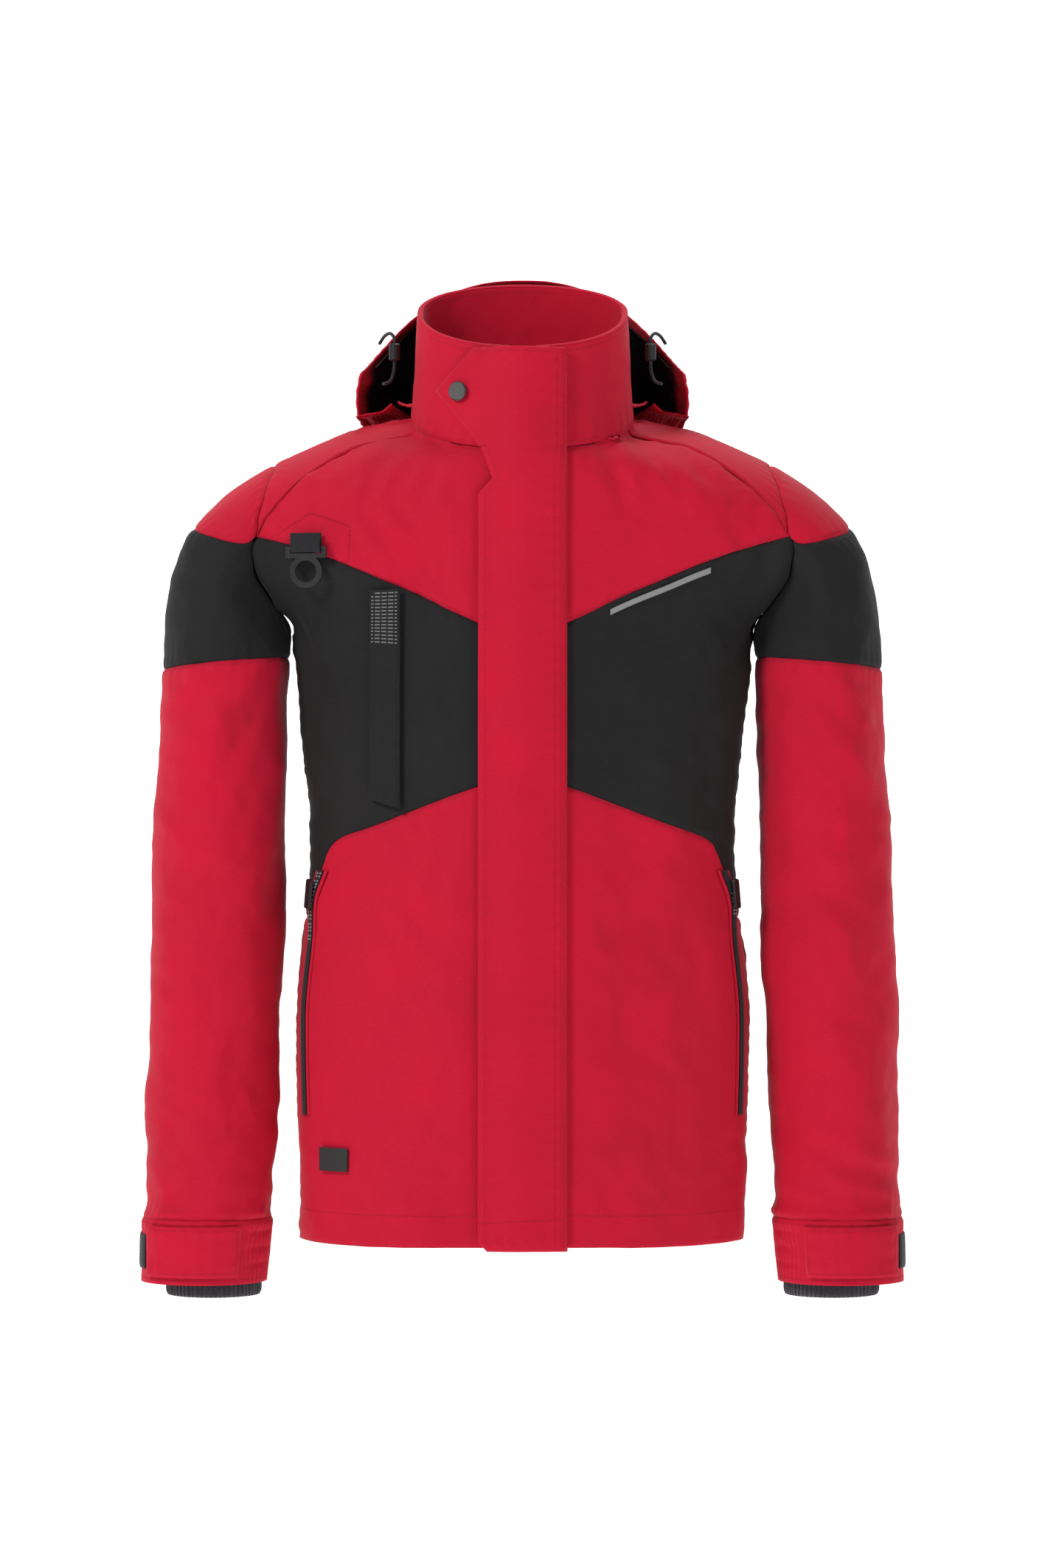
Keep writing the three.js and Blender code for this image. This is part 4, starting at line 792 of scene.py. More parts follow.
def crease_depth(p, folds, mirror_seed):
    """Soft valleys with a low ridge on each side, along short lines in X and Z."""
    xz = np.stack([np.abs(p[..., 0]), p[..., 2]], -1)
    total = np.zeros(p.shape[:2])
    wobble = np.random.default_rng(mirror_seed)
    for x0, z0, x1, z1, width, depth in folds:
        jitter = wobble.normal(0, 5, 4)
        a, b = np.array([x0, z0]) + jitter[:2], np.array([x1, z1]) + jitter[2:]
        t = np.clip(((xz - a) @ (b - a)) / ((b - a) @ (b - a)), -0.3, 1.3)
        d = np.linalg.norm(xz - (a + t[..., None] * (b - a)), axis=-1) / width
        fade = np.clip(1 - np.abs(t - 0.5) * 1.25, 0, 1) ** 0.8
        valley = 0.5 * np.exp(-((d - 1.6) / 0.9) ** 2) - np.exp(-d ** 2)
        total += depth * wobble.uniform(0.7, 1.2) * fade * valley
    return total


def creased(p, n, folds, mirror_seed):
    near = np.linalg.norm(p[..., [0, 2]][..., None, :] - TRIM_SPOTS, axis=-1).min(-1)
    free = (1 - np.exp(-(near / 16) ** 2)) * np.clip((np.abs(p[..., 0]) - 42) / 25, 0, 1)
    total = (crease_depth(p, folds, mirror_seed) + broad_waves(p)) * free
    return p + n * total[..., None]


PANEL_STITCHES = {  # rows of stitches: edge and distance from it
    "front_lower": [("top", 3.5), ("bottom", 27)], "front_yoke": [("bottom", 3.5)],
    "shoulder": [("left", 3.5), ("right", 3.5)], "back_lower": [("top", 3.5), ("bottom", 27)],
    "back_yoke": [("bottom", 3.5)], "front_chest": [], "back_middle": [],
}
for name in grids:
    black = "chest" in name or "middle" in name
    p = shapes[name] + moves[name]
    base = grid_normals(p)
    if name.startswith("front"):
        p = creased(p, base, FOLDS, 3 if name.endswith("left") else 11)
    elif name.startswith("back"):
        p = p + base * broad_waves(p)[..., None]
    edges = "bottom top left right"
    if name.startswith(("front_lower", "back_lower")):
        edges = "top left right"
    obj, q, n = piece(name + "_cloth", p, BLACK if black else RED, edges,
                      slot="black_shell" if black else "red_shell")
    stand_for(obj, name, "jacket")
    thread = BLACK_THREAD if black else RED_THREAD_PAINTED_SHADE
    for edge, inset in PANEL_STITCHES[name.removesuffix("_left").removesuffix("_right")]:
        stitch(*edge_line(q, n, edge, inset), "jacket", thread)


# ---- sleeves
SLEEVE_FOLDS = [
    (240, 500, 300, 440, 11, 2.6), (232, 470, 270, 400, 12, 2.2), (300, 480, 322, 380, 14, 1.4),
    (228, 330, 300, 290, 14, 2.4), (235, 300, 320, 320, 16, 1.6), (250, 250, 300, 160, 18, 2.0),
    (240, 200, 262, 90, 14, 1.8), (300, 240, 318, 120, 14, 1.6), (230, 90, 290, 60, 10, 2.0),
    (262, 60, 322, 40, 9, 1.8), (240, 50, 300, 26, 8, 1.5), (290, 110, 325, 84, 10, 1.4),
]


def sleeve_rows(p, t_rows):
    """Points of a sleeve at given t for each column; p's rows run from t = 2 up to 0."""
    t_axis = sleeve_t[::-1, 0]
    out = np.empty(t_rows.shape + (3,))
    for i in range(p.shape[1]):
        for k in range(3):
            out[:, i, k] = np.interp(t_rows[:, i], t_axis[::-1], p[::-1, i, k])
    return out


def sleeve(side, sign):
    p = shapes[f"sleeve_{side}"] + moves[f"sleeve_{side}"]
    n = grid_normals(p)
    n[:, 0] = n[:, -1] = unit(n[:, 0] + n[:, -1])
    top_fade = np.clip(sleeve_t[::-1], 0, 1)[..., None] ** 0.7
    low_fade = np.clip((2 - sleeve_t[::-1]) * 20, 0, 1)[..., None]
    lumps = crease_depth(p, SLEEVE_FOLDS, 21 + sign) + broad_waves(p)
    lumps[:, 0] = lumps[:, -1] = (lumps[:, 0] + lumps[:, -1]) / 2
    p = p + n * lumps[..., None] * top_fade * low_fade
    bend = "bend_" + side
    parts = {
        "cap": (slice(HOLE_LOW, len(us) - HOLE_LOW), RED, lambda v, u: cap_edge(u) * (1 - v), 24, RED_THREAD_PAINTED_SHADE),
        "band": (slice(0, len(us)), BLACK, lambda v, u: 1 + (cap_edge(u) - 1) * v, 60, BLACK_THREAD),
        "lower": (slice(0, len(us)), RED, lambda v, u: 2 - v + 0 * u, 150, RED_THREAD_PAINTED_SHADE)}
    for name, (cols, mat, t_of, rows, thread) in parts.items():
        v = np.linspace(0, 1, rows + 1)[:, None]
        grid = sleeve_rows(p[:, cols], t_of(v, us[None, cols]))
        closed = name != "cap"
        obj, q, qn = piece(f"sleeve_{name}_cloth_{side}", grid, mat, "bottom top", closed=closed,
                           slot="black_shell" if mat is BLACK else "red_shell")
        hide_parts(f"sleeve_{name}_{side}")
        attach(obj, bend)
        if name == "cap":
            stitch(*edge_line(q, qn, "bottom", 3.5), bend, thread)
            stitch(*edge_line(q, qn, "top", 3.5), bend, thread)
        if name == "lower":
            stitch(*edge_line(q, qn, "top", 3.5), bend, thread)


# ---- cuffs
CUFF_DEPTH = 56.0
WRIST, CUFF_END = (276.5, -15, 57, 54), (279.5, -16, 55, 51)


def cuff_point(u, v, lift=0.0):
    x, y, wide, deep = (a + (b - a) * v for a, b in zip(WRIST, CUFF_END))
    return ring_point(u, x, y, wide + lift, deep + lift, CUFF_SEAM_Z - CUFF_DEPTH * v)


def mirrored(p, sign):
    return p if sign > 0 else (p * [-1, 1, 1])[:, ::-1]


def cuff(side, sign):
    body = "sleeve_" + side
    u, v = np.linspace(0, 1, 241)[None], np.linspace(1, 0, 41)[:, None]
    u, v = np.broadcast_arrays(u, v)
    gather = np.exp(-(((u + 0.5) % 1 - 0.57) / 0.06) ** 4)
    rows = sum(np.exp(-((v - c) / 0.05) ** 2) for c in (0.2, 0.45, 0.7))
    middle = np.clip(np.sin(np.pi * v), 0, 1)
    lump = gather * (1.1 * np.sin(2 * np.pi * u * 62 + 1.2 * np.sin(9 * v)) * middle ** 0.5 - 1.2 * rows)
    lump = lump + (1 - gather) * 0.5 * np.sin(2 * np.pi * u * 5 + 3 * v) * middle
    grid = mirrored(cuff_point(u, v, 0.2 + lump), sign)
    obj, q, n = piece(f"cuff_cloth_{side}", grid, RED, "top", closed=True, thickness=2.2)
    stand_for(obj, f"cuff_{side}", body)
    stitch(*edge_line(q, n, "top", 4), body, RED_THREAD_PAINTED_SHADE)
    stitch(*edge_line(q, n, "bottom", 4), body, RED_THREAD_PAINTED_SHADE)

    u, v = np.meshgrid(np.linspace(0.158, 0.4, 60), np.linspace(0.88, 0.09, 30))
    grid = mirrored(cuff_point(u, v, 4.4 + 0.4 * np.sin(9 * v + 14 * u)), sign)
    obj, q, n = piece(f"cuff_tab_cloth_{side}", grid, RED, thickness=1.7, sink=0.5)
    stand_for(obj, f"cuff_tab_{side}", "cuff_tab_" + side)
    for edge in ("bottom", "top", "left", "right"):
        stitch(*edge_line(q, n, edge, 3.5, 0.06, 0.94), "cuff_tab_" + side, RED_THREAD_PAINTED_SHADE)

    u, v = np.meshgrid(np.linspace(0.425, 0.53, 60), np.linspace(0.78, 0.25, 40))
    fuzz = 0.25 * waves(u * 2300, v * 400, 3.2, 31, ridged=True)
    obj = piece(f"loop_patch_cloth_{side}", mirrored(cuff_point(u, v, 1.9 + fuzz), sign), WEBBING,
                thickness=1.0, slot="webbing", sink=0.4, puff=0.1, pucker=0)[0]
    stand_for(obj, f"loop_patch_{side}", body)

    u, z = np.meshgrid(np.linspace(0, 1, 361), np.linspace(-51, -12, 14))
    rib = 0.55 * np.cos(2 * np.pi * u * 60)
    grid = mirrored(ring_point(u, 271, -16, 41 + rib, 38 + rib, z), sign)
    obj = piece(f"inner_cuff_knit_{side}", grid, KNIT, "bottom", closed=True, slot="knit",
                thickness=2.0)[0]
    stand_for(obj, f"inner_cuff_{side}", body)


for side, sign in (("right", -1), ("left", 1)):
    sleeve(side, sign)
    cuff(side, sign)


# ---- collar, linings and hanging loop
def collar():
    edge = float(angle_of(SEAM_HALF, BODY_LENGTH + 1))
    angle, h = np.meshgrid(np.linspace(edge + 0.2, 359.8 - edge, 301),
                           np.linspace(BODY_LENGTH + 0.6, COLLAR_TOP, 43))
    soft = 0.9 * waves(angle * 2, h, 60, 41) + 0.3 * waves(angle * 2, h, 20, 42)
    soft *= np.clip((angle - edge) / 6, 0, 1) * np.clip((360 - edge - angle) / 6, 0, 1)
    obj, q, n = piece("collar_outer_cloth", lifted(angle, h, soft), RED, "bottom left right", thickness=1.8)
    stand_for(obj, "collar_outer", "jacket")
    stitch(*edge_line(q, n, "top", 5), "jacket", RED_THREAD_PAINTED_SHADE)
    stitch(*edge_line(q, n, "bottom", 4), "jacket", RED_THREAD_PAINTED_SHADE)
    inner, f, fn = piece("collar_facing_cloth", lifted(angle, h, soft - 3.4), FACING, "bottom left right",
                         thickness=2.2, slot="dark_red_facing")
    stand_for(inner, "collar_facing", "jacket")
    back_p, back_n = edge_line(f, fn, "top", 5)
    stitch(back_p - 2.2 * back_n, -back_n, "jacket", RED_THREAD_PAINTED_SHADE)
    # The fabric rolls over the top edge from the outer side to the facing.
    turn = np.linspace(0, np.pi, 9)[:, None, None]
    top_out, top_in = q[-1] + 0.1 * n[-1], f[-1] - 2.3 * fn[-1]
    middle, reach = (top_out + top_in) / 2, (top_out - top_in) / 2
    up = unit(q[-1] - q[-3])
    roll = middle + reach * np.cos(turn) + up * 2.6 * np.sin(turn) - up * 0.4
    obj = sheet_mesh("collar_edge", roll, roll - 0.6 * grid_normals(roll), RED)
    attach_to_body(obj, "jacket")


def linings():
    side = np.vstack([line((90, 14), (90, ARMPIT_Z), 60), lower_armhole[1:], raglan[1:]])
    start_low, start_top = float(angle_of(34, 14)), float(angle_of(34, BODY_LENGTH))
    neck_row = line((start_top, BODY_LENGTH), (RAGLAN_NECK_ANGLE, BODY_LENGTH), 40)
    front = between(line((start_low, 14), (90, 14), 40), neck_row,
                    centre_front(34, 14, BODY_LENGTH, side), side)
    back_side = to_back(side)
    back_row = line((180 - RAGLAN_NECK_ANGLE, BODY_LENGTH), (180 + RAGLAN_NECK_ANGLE, BODY_LENGTH), 80)
    back = between(line((90, 14), (270, 14), 80), back_row, back_side, to_right(back_side))
    parts = {"lining_left": front, "lining_right": (front * [-1, 1])[:, ::-1], "lining_back": back}
    for name, grid in parts.items():
        p = lifted(grid[..., 0], grid[..., 1], -9.4)
        p = p - grid_normals(p) * (1.2 + 1.2 * waves(p[..., 0] + p[..., 1], p[..., 2], 60, 51))[..., None]
        obj = piece(name + "_cloth", p, LINING, "", thickness=0.9, slot="black_lining")[0]
        stand_for(obj, name, "jacket")
    for side_name, sign in (("right", -1), ("left", 1)):
        a, h = np.meshgrid(np.linspace(34, 64, 40), np.linspace(118, 318, 60))
        puff = 1.2 * waves(a * 3, h, 50, 52)
        bag = mirrored(lifted(a, h, -17.8 + puff), sign)
        obj = piece(f"pocket_bag_cloth_{side_name}", bag, LINING, thickness=1.8, slot="black_lining",
                    sink=0.5)[0]
        stand_for(obj, "pocket_bag_" + side_name, "jacket")


def hanging_loop():
    t, z = np.meshgrid(np.linspace(1, 0, 61), np.linspace(741, 749, 9))
    y = 56.9 - 13.4 * np.sin(np.pi * t).clip(0) ** 0.7
    obj = sheet_mesh("hanging_loop_tape", np.stack([-30 + 60 * t, y - 0.8, z], -1),
                     np.stack([-30 + 60 * t, y + 0.6, z], -1), WEBBING)
    stand_for(obj, "hanging_loop", "jacket")


collar()
linings()
hanging_loop()


# ---- tiles: teeth, printed dashes and ladders
def tiles(name, centres, across_v, up_v, out_v, width, height, thick, mat, slot):
    corners = [(a, b, c) for c in (0, 1) for b in (-0.5, 0.5) for a in (-0.5, 0.5)]
    points = np.stack([centres + across_v * (a * width) + up_v * (b * height) + out_v * (c * thick)
                       for a, b, c in corners], 1)
    face = np.array([(0, 2, 3, 1), (4, 5, 7, 6), (0, 1, 5, 4), (2, 6, 7, 3), (0, 4, 6, 2), (1, 3, 7, 5)])
    faces = (face[None] + (np.arange(len(centres)) * 8)[:, None, None]).reshape(-1, 4)
    obj = make_mesh(name, metres(points.reshape(-1, 3)), faces)
    set_uv(obj, np.tile(np.array([(a * width, b * height) for a, b, _ in corners]) / 1000, (len(centres), 1)))
    obj.data.materials.append(mat)
    return obj


def frame_at(p, n, rows, cols):
    """Centres and axes of tiles at fractional rows and columns of a grid."""
    j = (np.asarray(rows) * (p.shape[0] - 1)).astype(int).clip(1, p.shape[0] - 2)
    i = (np.asarray(cols) * (p.shape[1] - 1)).astype(int).clip(1, p.shape[1] - 2)
    return p[j, i], unit(p[j, i + 1] - p[j, i - 1]), unit(p[j + 1, i] - p[j - 1, i]), n[j, i]


# ---- storm flap
FREE_EDGE = [  # (z, x) of the flap's free edge and of its collar tab
    (-3, -30), (5, -38), (646, -38), (659, -26), (689, -37), (707, -50), (737, -72), (755, -57), (773, -41)]


def storm_flap():
    z = np.concatenate([np.linspace(-3, 640, 215), np.linspace(643, 773, 66)])[:, None]
    free = np.interp(z, *np.array(FREE_EDGE, float).T)
    t = np.linspace(0, 1, 45)[None]
    x = free + (36 - free) * t
    arch = np.where(np.abs(x) < 38, np.cos(np.pi * x / 76) ** 2, 0)
    z = np.broadcast_to(z, x.shape)
    place = front_at(x, z)
    soft = 1.0 * waves(x * 0.6, z, 110, 61) + 0.35 * waves(x, z, 28, 62)
    soft *= np.clip((36 - x) / 10, 0, 1)
    p = lifted(place[..., 0], place[..., 1], 4 + 5 * arch + 2.3 + soft)
    obj, q, n = piece("storm_flap_cloth", p, RED, thickness=2.0, sink=0.7)
    stand_for(obj, "storm_flap", "storm_flap")
    for inset in (4, 9):
        stitch(*edge_line(q, n, "right", inset), "storm_flap", RED_THREAD_PAINTED_SHADE)
    stitch(*edge_line(q, n, "left", 6, 0.02, 0.985), "storm_flap", RED_THREAD_PAINTED_SHADE)
    stitch(*edge_line(q, n, "top", 5, 0.05, 0.95), "storm_flap", RED_THREAD_PAINTED_SHADE)
    stitch(*edge_line(q, n, "bottom", 27), "storm_flap", RED_THREAD_PAINTED_SHADE)
    # The flap's sewn edge goes down to the panel beside it.
    z = np.linspace(-3, 770, 200)[:, None]
    drop = np.linspace(0, 1, 7)[None]
    place = front_at(36 + 2.5 * drop + 0 * z, z + 0 * drop)
    p = lifted(place[..., 0], place[..., 1], 6.0 * (1 - drop) ** 1.4 + 0.2)
    obj = sheet_mesh("storm_flap_seam", p, p - 0.9 * grid_normals(p), RED)
    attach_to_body(obj, "jacket")


# ---- main zip
LEAN = math.atan(0.0621)


def leaned(x, y, z):
    """A point drawn upright on the centre front line, then leaned with it."""
    return np.stack(np.broadcast_arrays(x, -128 + y * math.cos(LEAN) + z * math.sin(LEAN),
                                        z * math.cos(LEAN) - y * math.sin(LEAN)), -1)


def main_zip():
    z = np.arange(24, 762, 3.0)
    out = leaned(0, -1, 0) - leaned(0, 0, 0)
    up = leaned(0, 0, 1) - leaned(0, 0, 0)
    for side, sign in (("right", -1), ("left", 1)):
        x, zz = np.meshgrid(np.linspace(1.2, 9.9, 9), np.linspace(22, 764, 220))
        tape = sheet_mesh(f"zip_tape_cloth_{side}", mirrored(leaned(x, 0.6, zz), sign),
                          mirrored(leaned(x, 1.8, zz), sign), WEBBING)
        stand_for(tape, "zip_tape_" + side, "jacket")
        shift = 0 if sign > 0 else 1.5
        teeth = tiles(f"zip_teeth_{side}", leaned(sign * 1.9, 3.1, z + shift), np.array([1.0, 0, 0]), up, out,
                      2.0, 1.7, 3.8, PLASTIC, "black_plastic")
        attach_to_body(teeth, "jacket")
    x, zz = np.meshgrid(np.linspace(-30, 30, 31), np.linspace(12, 668, 200))
    wavy = 0.8 * waves(x, zz, 70, 71)
    flap = sheet_mesh("under_flap_cloth", leaned(x, 7.3 + wavy, zz), leaned(x, 8.7 + wavy, zz), BLACK)
    stand_for(flap, "under_flap", "jacket")


storm_flap()
main_zip()


# ---- strips on the body
def beside(path, t, lift):
    """Points t mm to the side of a rising path of [angle, height] points, on the settled cloth."""
    a, h = path[:, 0][:, None], path[:, 1][:, None]
    per_mm = 2 / np.linalg.norm(surface(a + 1, h) - surface(a - 1, h), axis=-1)
    return draped(lifted(a + t * per_mm, h + 0 * t, lift))


def strip(path, width, lift, columns=12):
    return beside(path, np.linspace(-0.5, 0.5, columns + 1)[None] * width, lift)


def laid(name, p, mat, slot, thickness, node, body="jacket", **seam):
    obj, q, n = piece(name, p, mat, seam.pop("edges", ""), thickness=thickness, slot=slot, **seam)
    stand_for(obj, node, body)
    return q, n


pocket_angle = curve_through([(110, 71), (285, 71.5), (322, 66.5)])


def hand_pockets():
    h = np.linspace(110, 322, 150)
    path = np.stack([pocket_angle(h), h], -1)
    for side, sign in (("right", -1), ("left", 1)):
        track = path if sign > 0 else (path * [-1, 1])
        p = strip(track, 8.0, 2.1, 16)
        ridge = 0.5 * np.exp(-(np.linspace(-4, 4, 17) / 0.8) ** 2)
        q, n = laid(f"pocket_zip_cloth_{side}", p + grid_normals(p) * ridge[None, :, None], WEBBING,
                    "black_plastic", 1.3, "pocket_zip_" + side)
        low, high = (0.72, 0.99) if side == "right" else (0.82, 0.9)
        rows = np.repeat(np.linspace(low, high, 18 if side == "right" else 6), 2)
        cols = np.tile([0.25, 0.75], len(rows) // 2)
        marks = tiles(f"pocket_ladder_{side}", *frame_at(q, n, rows, cols), 2.6, 1.5, 0.25, REFLECT,
                      "reflective")
        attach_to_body(marks, "jacket")
        # A welt of red cloth on each side of the zip.
        for k in (-1, 1):
            t = np.linspace(4.3, 8.5, 7)[None] * k
            t = t if k > 0 else t[:, ::-1]
            bulge = 0.3 + 1.5 * np.sin(np.pi * np.linspace(0, 1, 7)) ** 0.6
            w = beside(track, t, bulge[None])
            edge = "outer" if k > 0 else "inner"
            obj = sheet_mesh(f"pocket_welt_{side}_{edge}", w, w - 0.9 * grid_normals(w), RED)
            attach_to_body(obj, "jacket")


def chest_pocket():
    v, u = np.meshgrid(np.linspace(0, 1, 120), np.linspace(0, 1, 24), indexing="ij")
    z = 385 - 9 * u + (566 - 385 + 9 * u) * v
    place = front_at(-134 + 26 * u, z)
    p = draped(lifted(place[..., 0], place[..., 1], 5.3))
    q, n = laid("chest_flap_cloth", p, BLACK, "black_shell", 1.7, "chest_flap", "chest_flap",
                edges="bottom top left right", sink=0.6)
    for edge in ("left", "right"):
        stitch(*edge_line(q, n, edge, 2.6, 0.01, 0.99), "chest_flap", BLACK_THREAD)
    cols, rows = np.meshgrid(np.linspace(0.12, 0.88, 8), np.linspace(0.755, 0.985, 15))
    keep = cols + (1 - rows) * 2 > 0.16
    marks = tiles("chest_print", *frame_at(q, n, rows[keep], cols[keep]), 2.2, 1.15, 0.12, PRINT,
                  "reflective")
    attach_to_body(marks, "chest_flap")
    h = np.linspace(396, 558, 110)
    laid("chest_zip_cloth", strip(front_at(np.full(110, -121.0), h), 9.0, 2.0), WEBBING, "black_plastic", 1.2,
         "chest_pocket_zip")


def piping():
    edge = surface(yoke_line[:, 0], yoke_line[:, 1])
    x = np.linspace(78, 166, 80)[None]
    z = np.interp(x, edge[:, 0], edge[:, 2]) - 8.5 + np.linspace(-2.5, 2.5, 6)[:, None]
    place = front_at(x + 0 * z, z)
    tape = draped(lifted(place[..., 0], place[..., 1], 1.9))
    laid("reflective_piping_tape", tape, REFLECT, "reflective", 1.0, "reflective_piping")


def webbing_loop():
    spot = front_at(-186, 600)
    n = surface_normal(spot[0], spot[1])
    up = unit(np.array([0, 0, 1.0]) - n * n[2])
    across = np.cross(up, n)
    origin = lifted(spot[0], spot[1], 5)
    turn = np.linspace(-np.pi, 0, 25)
    r = 3.35
    y = np.concatenate([np.full(12, -r), r * np.cos(turn), np.full(12, r)])
    z = np.concatenate([np.linspace(13, 0.5, 12), r * np.sin(turn), np.linspace(0.5, 13, 12)])
    x = np.linspace(13, -13, 27)[None, :, None]
    line_ = (-n) * y[:, None] + up * z[:, None]
    grid = origin + line_[:, None] + across * x
    away = grid_normals(grid)
    obj = sheet_mesh("webbing_loop_tape", grid + 0.5 * away, grid - 0.5 * away, WEBBING)
    stand_for(obj, "webbing_loop", "jacket")
    corners = np.array([(-216, 613), (-187, 633), (-152, 620), (-153, 589), (-216, 613)], float)
    run = np.concatenate([np.linspace(a, b, 30)[:-1] for a, b in zip(corners, corners[1:])])
    g = front_at(run[:, 0], run[:, 1])
    stitch(draped(lifted(g[:, 0], g[:, 1], 0.4)), surface_normal(g[:, 0], g[:, 1]), "jacket", RED_THREAD_PAINTED_SHADE)


hand_pockets()
chest_pocket()
piping()
webbing_loop()


# ---- hood
HOOD_MIDDLE = catmull_rom([(0, *q) for q in (
    (112, 853), (150, 828), (180, 772), (190, 700), (180, 636), (150, 600), (134, 622), (124, 676),
    (104, 733))], 40)
HOOD_END = catmull_rom([(0, *q) for q in ((-36, 757), (-35, 740), (-26, 722), (-8, 722), (2, 736))], 40)
hood_half = curve_through([(0, 145), (0.3, 150), (0.6, 146), (0.8, 130), (1, 112)])


def on_curve(curve, s):
    at = np.asarray(s) * (len(curve) - 1)
    return np.stack([np.interp(at, np.arange(len(curve)), curve[:, k]) for k in range(3)], -1)


def inside_body(p, margin=4.0):
    y = p[..., 1]
    z = p[..., 2] - 4.0
    h = z
    for _ in range(6):
        h = z - tilt(np.minimum(h, COLLAR_TOP)) * y
    depth = np.where(y < 0, front_depth(h), back_depth(h))
    n = squareness(h)
    within = (np.abs(p[..., 0]) / (half_width(h) + margin)) ** n + (np.abs(y) / (depth + margin)) ** n < 1
    return within & (h <= COLLAR_TOP)


def hood_point(s, across):
    s, across = np.broadcast_arrays(np.asarray(s, float), np.asarray(across, float))
    middle, end = on_curve(HOOD_MIDDLE, s), on_curve(HOOD_END, s)
    side, forward = np.sin(np.radians(across)), np.cos(np.radians(across))
    p = np.stack([hood_half(s) * np.sign(side) * np.abs(side) ** 0.8,
                  end[..., 1] + (middle[..., 1] - end[..., 1]) * forward ** 0.7,
                  end[..., 2] + (middle[..., 2] - end[..., 2]) * forward ** 2], -1)
    for _ in range(120):
        low = (s > 0.35) & inside_body(p)
        if not low.any():
            break
        p[..., 2] += low
    return p


def hood_crumple(s, across):
    fade = (np.clip(s / 0.12, 0.15, 1) * np.clip((0.95 - s) / 0.1, 0, 1)
            * np.clip((80 - np.abs(across)) / 12, 0, 1))
    round_, down_ = across * 2.4, s * 420
    return fade * (3.2 * waves(round_, down_, 75, 81) + 1.4 * waves(round_, down_, 30, 82, ridged=True))


def unfold(obj):
    """Bakes the hood piece's placement into its mesh; the piece is left without a parent."""
    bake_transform(obj)


def hood():
    s, across = np.meshgrid(np.linspace(0, 0.95, 130), np.linspace(-80, 80, 161), indexing="ij")
    p = hood_point(s, across)
    p = p + grid_normals(p) * hood_crumple(s, across)[..., None]
    obj, q, n = piece("hood_shell_cloth", p, RED, "bottom left right", thickness=1.6)
    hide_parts("hood_shell")
    unfold(obj)
    for inset in (5, 9, 30):
        stitch(*edge_line(q, n, "bottom", inset, 0.02, 0.98), "hood", RED_THREAD_PAINTED_SHADE)
    s, across = np.meshgrid(np.linspace(0.02, 0.91, 120), np.linspace(-68, 68, 141), indexing="ij")
    p = hood_point(s, across)
    normals = grid_normals(p)
    p = p + normals * (hood_crumple(s, across) - 5.8)[..., None]
    inner = piece("hood_lining_cloth", p, LINING, "", thickness=1.0, slot="black_lining")[0]
    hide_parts("hood_lining")
    unfold(inner)
    v, t = np.meshgrid(np.linspace(0, 1, 14), np.linspace(0, 1, 121), indexing="ij")
    base = lifted(100 + 160 * t, np.full_like(t, BODY_LENGTH + 9), 1.4)
    top = hood_point(np.full_like(t, 0.98), 80 - 160 * t)
    band, q, n = piece("hood_neck_cloth", base + (top - base) * (0.92 * v)[..., None], RED, "bottom top",
                       thickness=1.4)
    stand_for(band, "hood_neck_band", "jacket")
    stitch(*edge_line(q, n, "top", 3), "jacket", RED_THREAD_PAINTED_SHADE)


hood()
sew_threads()

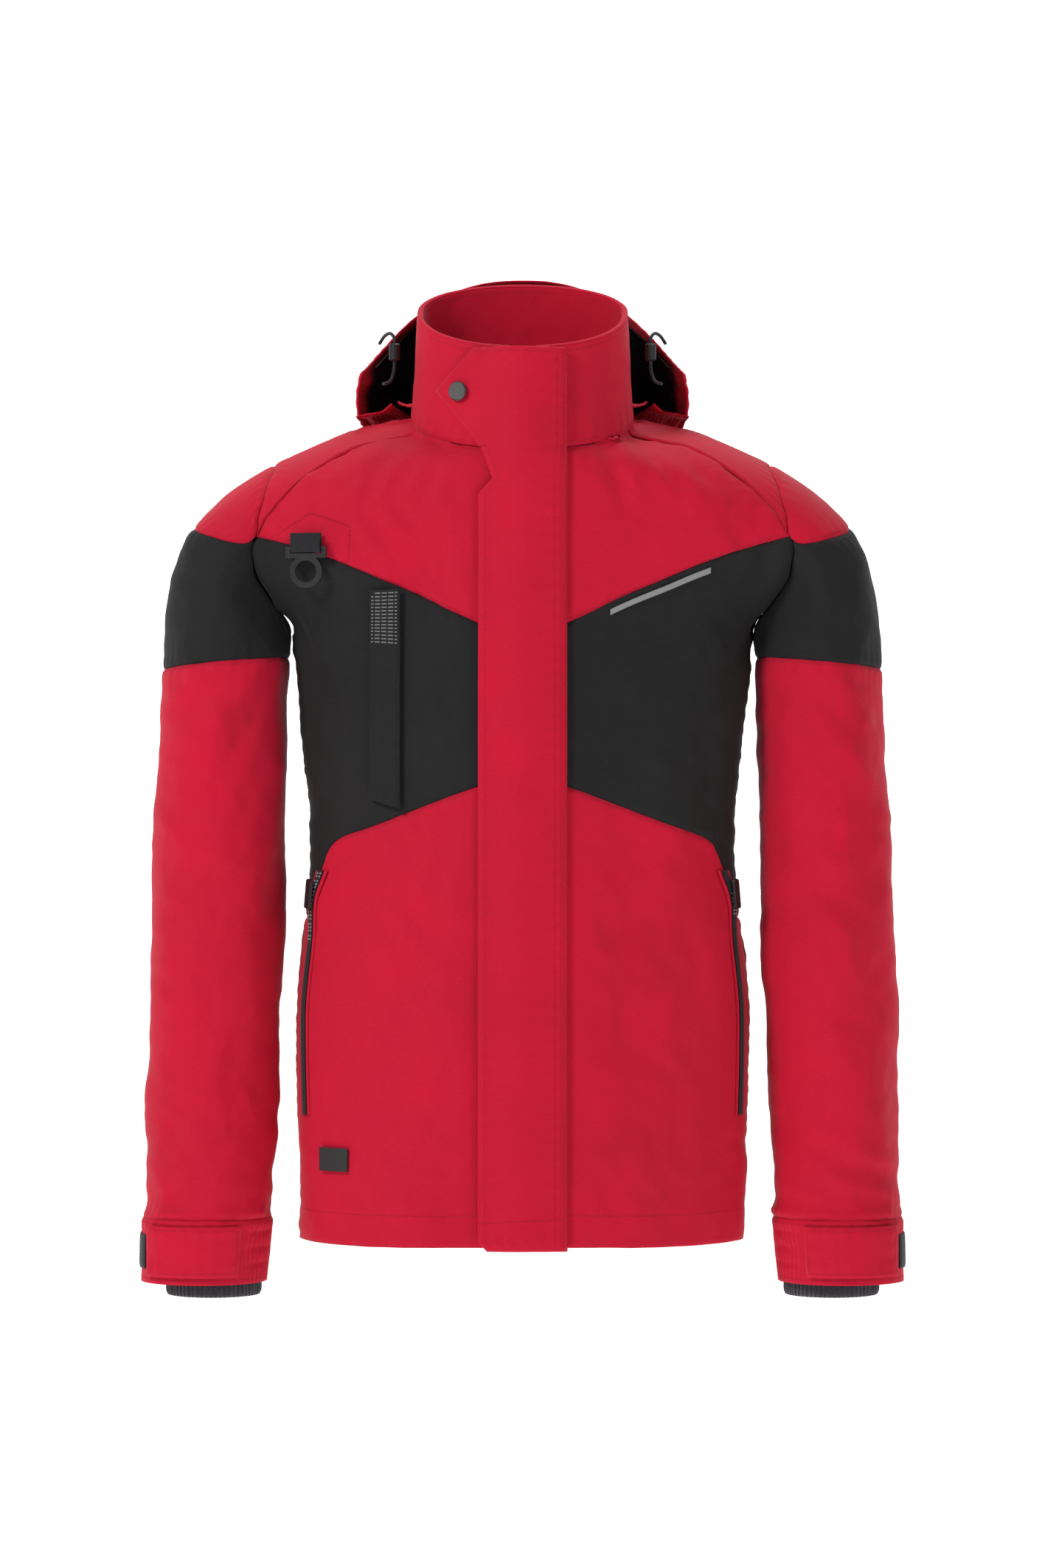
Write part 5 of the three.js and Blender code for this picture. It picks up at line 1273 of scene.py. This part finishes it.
# ---- finishes of the kept parts
KEPT = {"main_slider": GUNMETAL, "main_puller": PLASTIC, "snap_cap": GUNMETAL, "snap_socket": GUNMETAL,
        "snap_stud": GUNMETAL, "ring_plate": PLASTIC, "label_patch": RUBBER, "pocket_slider_right": PLASTIC,
        "pocket_slider_left": PLASTIC, "cord_lock_right": PLASTIC, "cord_lock_left": PLASTIC}
for name, mat in KEPT.items():
    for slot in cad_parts[name].material_slots:
        slot.material = mat
ELASTIC = solid_material("elastic", (0.02, 0.022, 0.03), 0.75, grain=1400, bump=0.6, spread=0.6)
for cord in elastics:
    cord.data.materials.append(ELASTIC)


# ---- floor, backdrop and light
FLOOR_FRONT, WALL_PLACE, WALL_TOP, CURVE, HALF_SPAN, FLOOR_DROP = -8.0, 6.0, 6.0, 0.9, 9.0, 1.5


def backdrop():
    """A pale floor that curves up into a wall behind the jacket, in metres."""
    turn = np.linspace(0, np.pi / 2, 16)
    y = np.concatenate([[FLOOR_FRONT], WALL_PLACE - CURVE + CURVE * np.sin(turn), [WALL_PLACE]])
    z = np.concatenate([[0], CURVE - CURVE * np.cos(turn), [WALL_TOP]]) - FLOOR_DROP
    points = np.array([[(x, *yz) for yz in zip(y, z)] for x in (-HALF_SPAN, HALF_SPAN)])
    obj = make_mesh("backdrop", points.transpose(1, 0, 2), grid_faces(len(y), 2))
    mat, nodes, links, shader = new_material("backdrop")
    grain = nodes.new("ShaderNodeTexNoise")
    links.new(two_tone(nodes, links, grain.outputs[0], (0.93, 0.93, 0.93), (0.97, 0.97, 0.97)),
              shader.inputs["Base Color"])
    shader.inputs["Roughness"].default_value = 0.9
    shader.inputs["Emission Color"].default_value = (1, 1, 1, 1)
    shader.inputs["Emission Strength"].default_value = 0.65
    obj.data.materials.append(mat)
    smooth(obj)


def lamp(name, place, size, power):
    data = bpy.data.lights.new(name, "AREA")
    data.shape, data.size, data.energy = "DISK", size, power
    obj = bpy.data.objects.new(name, data)
    obj.location = place
    target = np.array([0, 0, -0.35])
    obj.rotation_euler = Vector(target - np.array(place)).to_track_quat("-Z", "Y").to_euler()
    bpy.context.scene.collection.objects.link(obj)


backdrop()
lamp("key", (-2.1, -1.9, 1.7), 1.0, 66)
lamp("fill", (2.4, -2.0, 0.6), 1.6, 16)
lamp("top", (0.3, 0.9, 2.1), 1.4, 26)
world = bpy.data.worlds.new("studio")
world.use_nodes = True
world.node_tree.nodes["Background"].inputs[0].default_value = (1, 1, 1, 1)
world.node_tree.nodes["Background"].inputs[1].default_value = 0.27
bpy.context.scene.world = world
bpy.context.scene.view_settings.view_transform = "Standard"
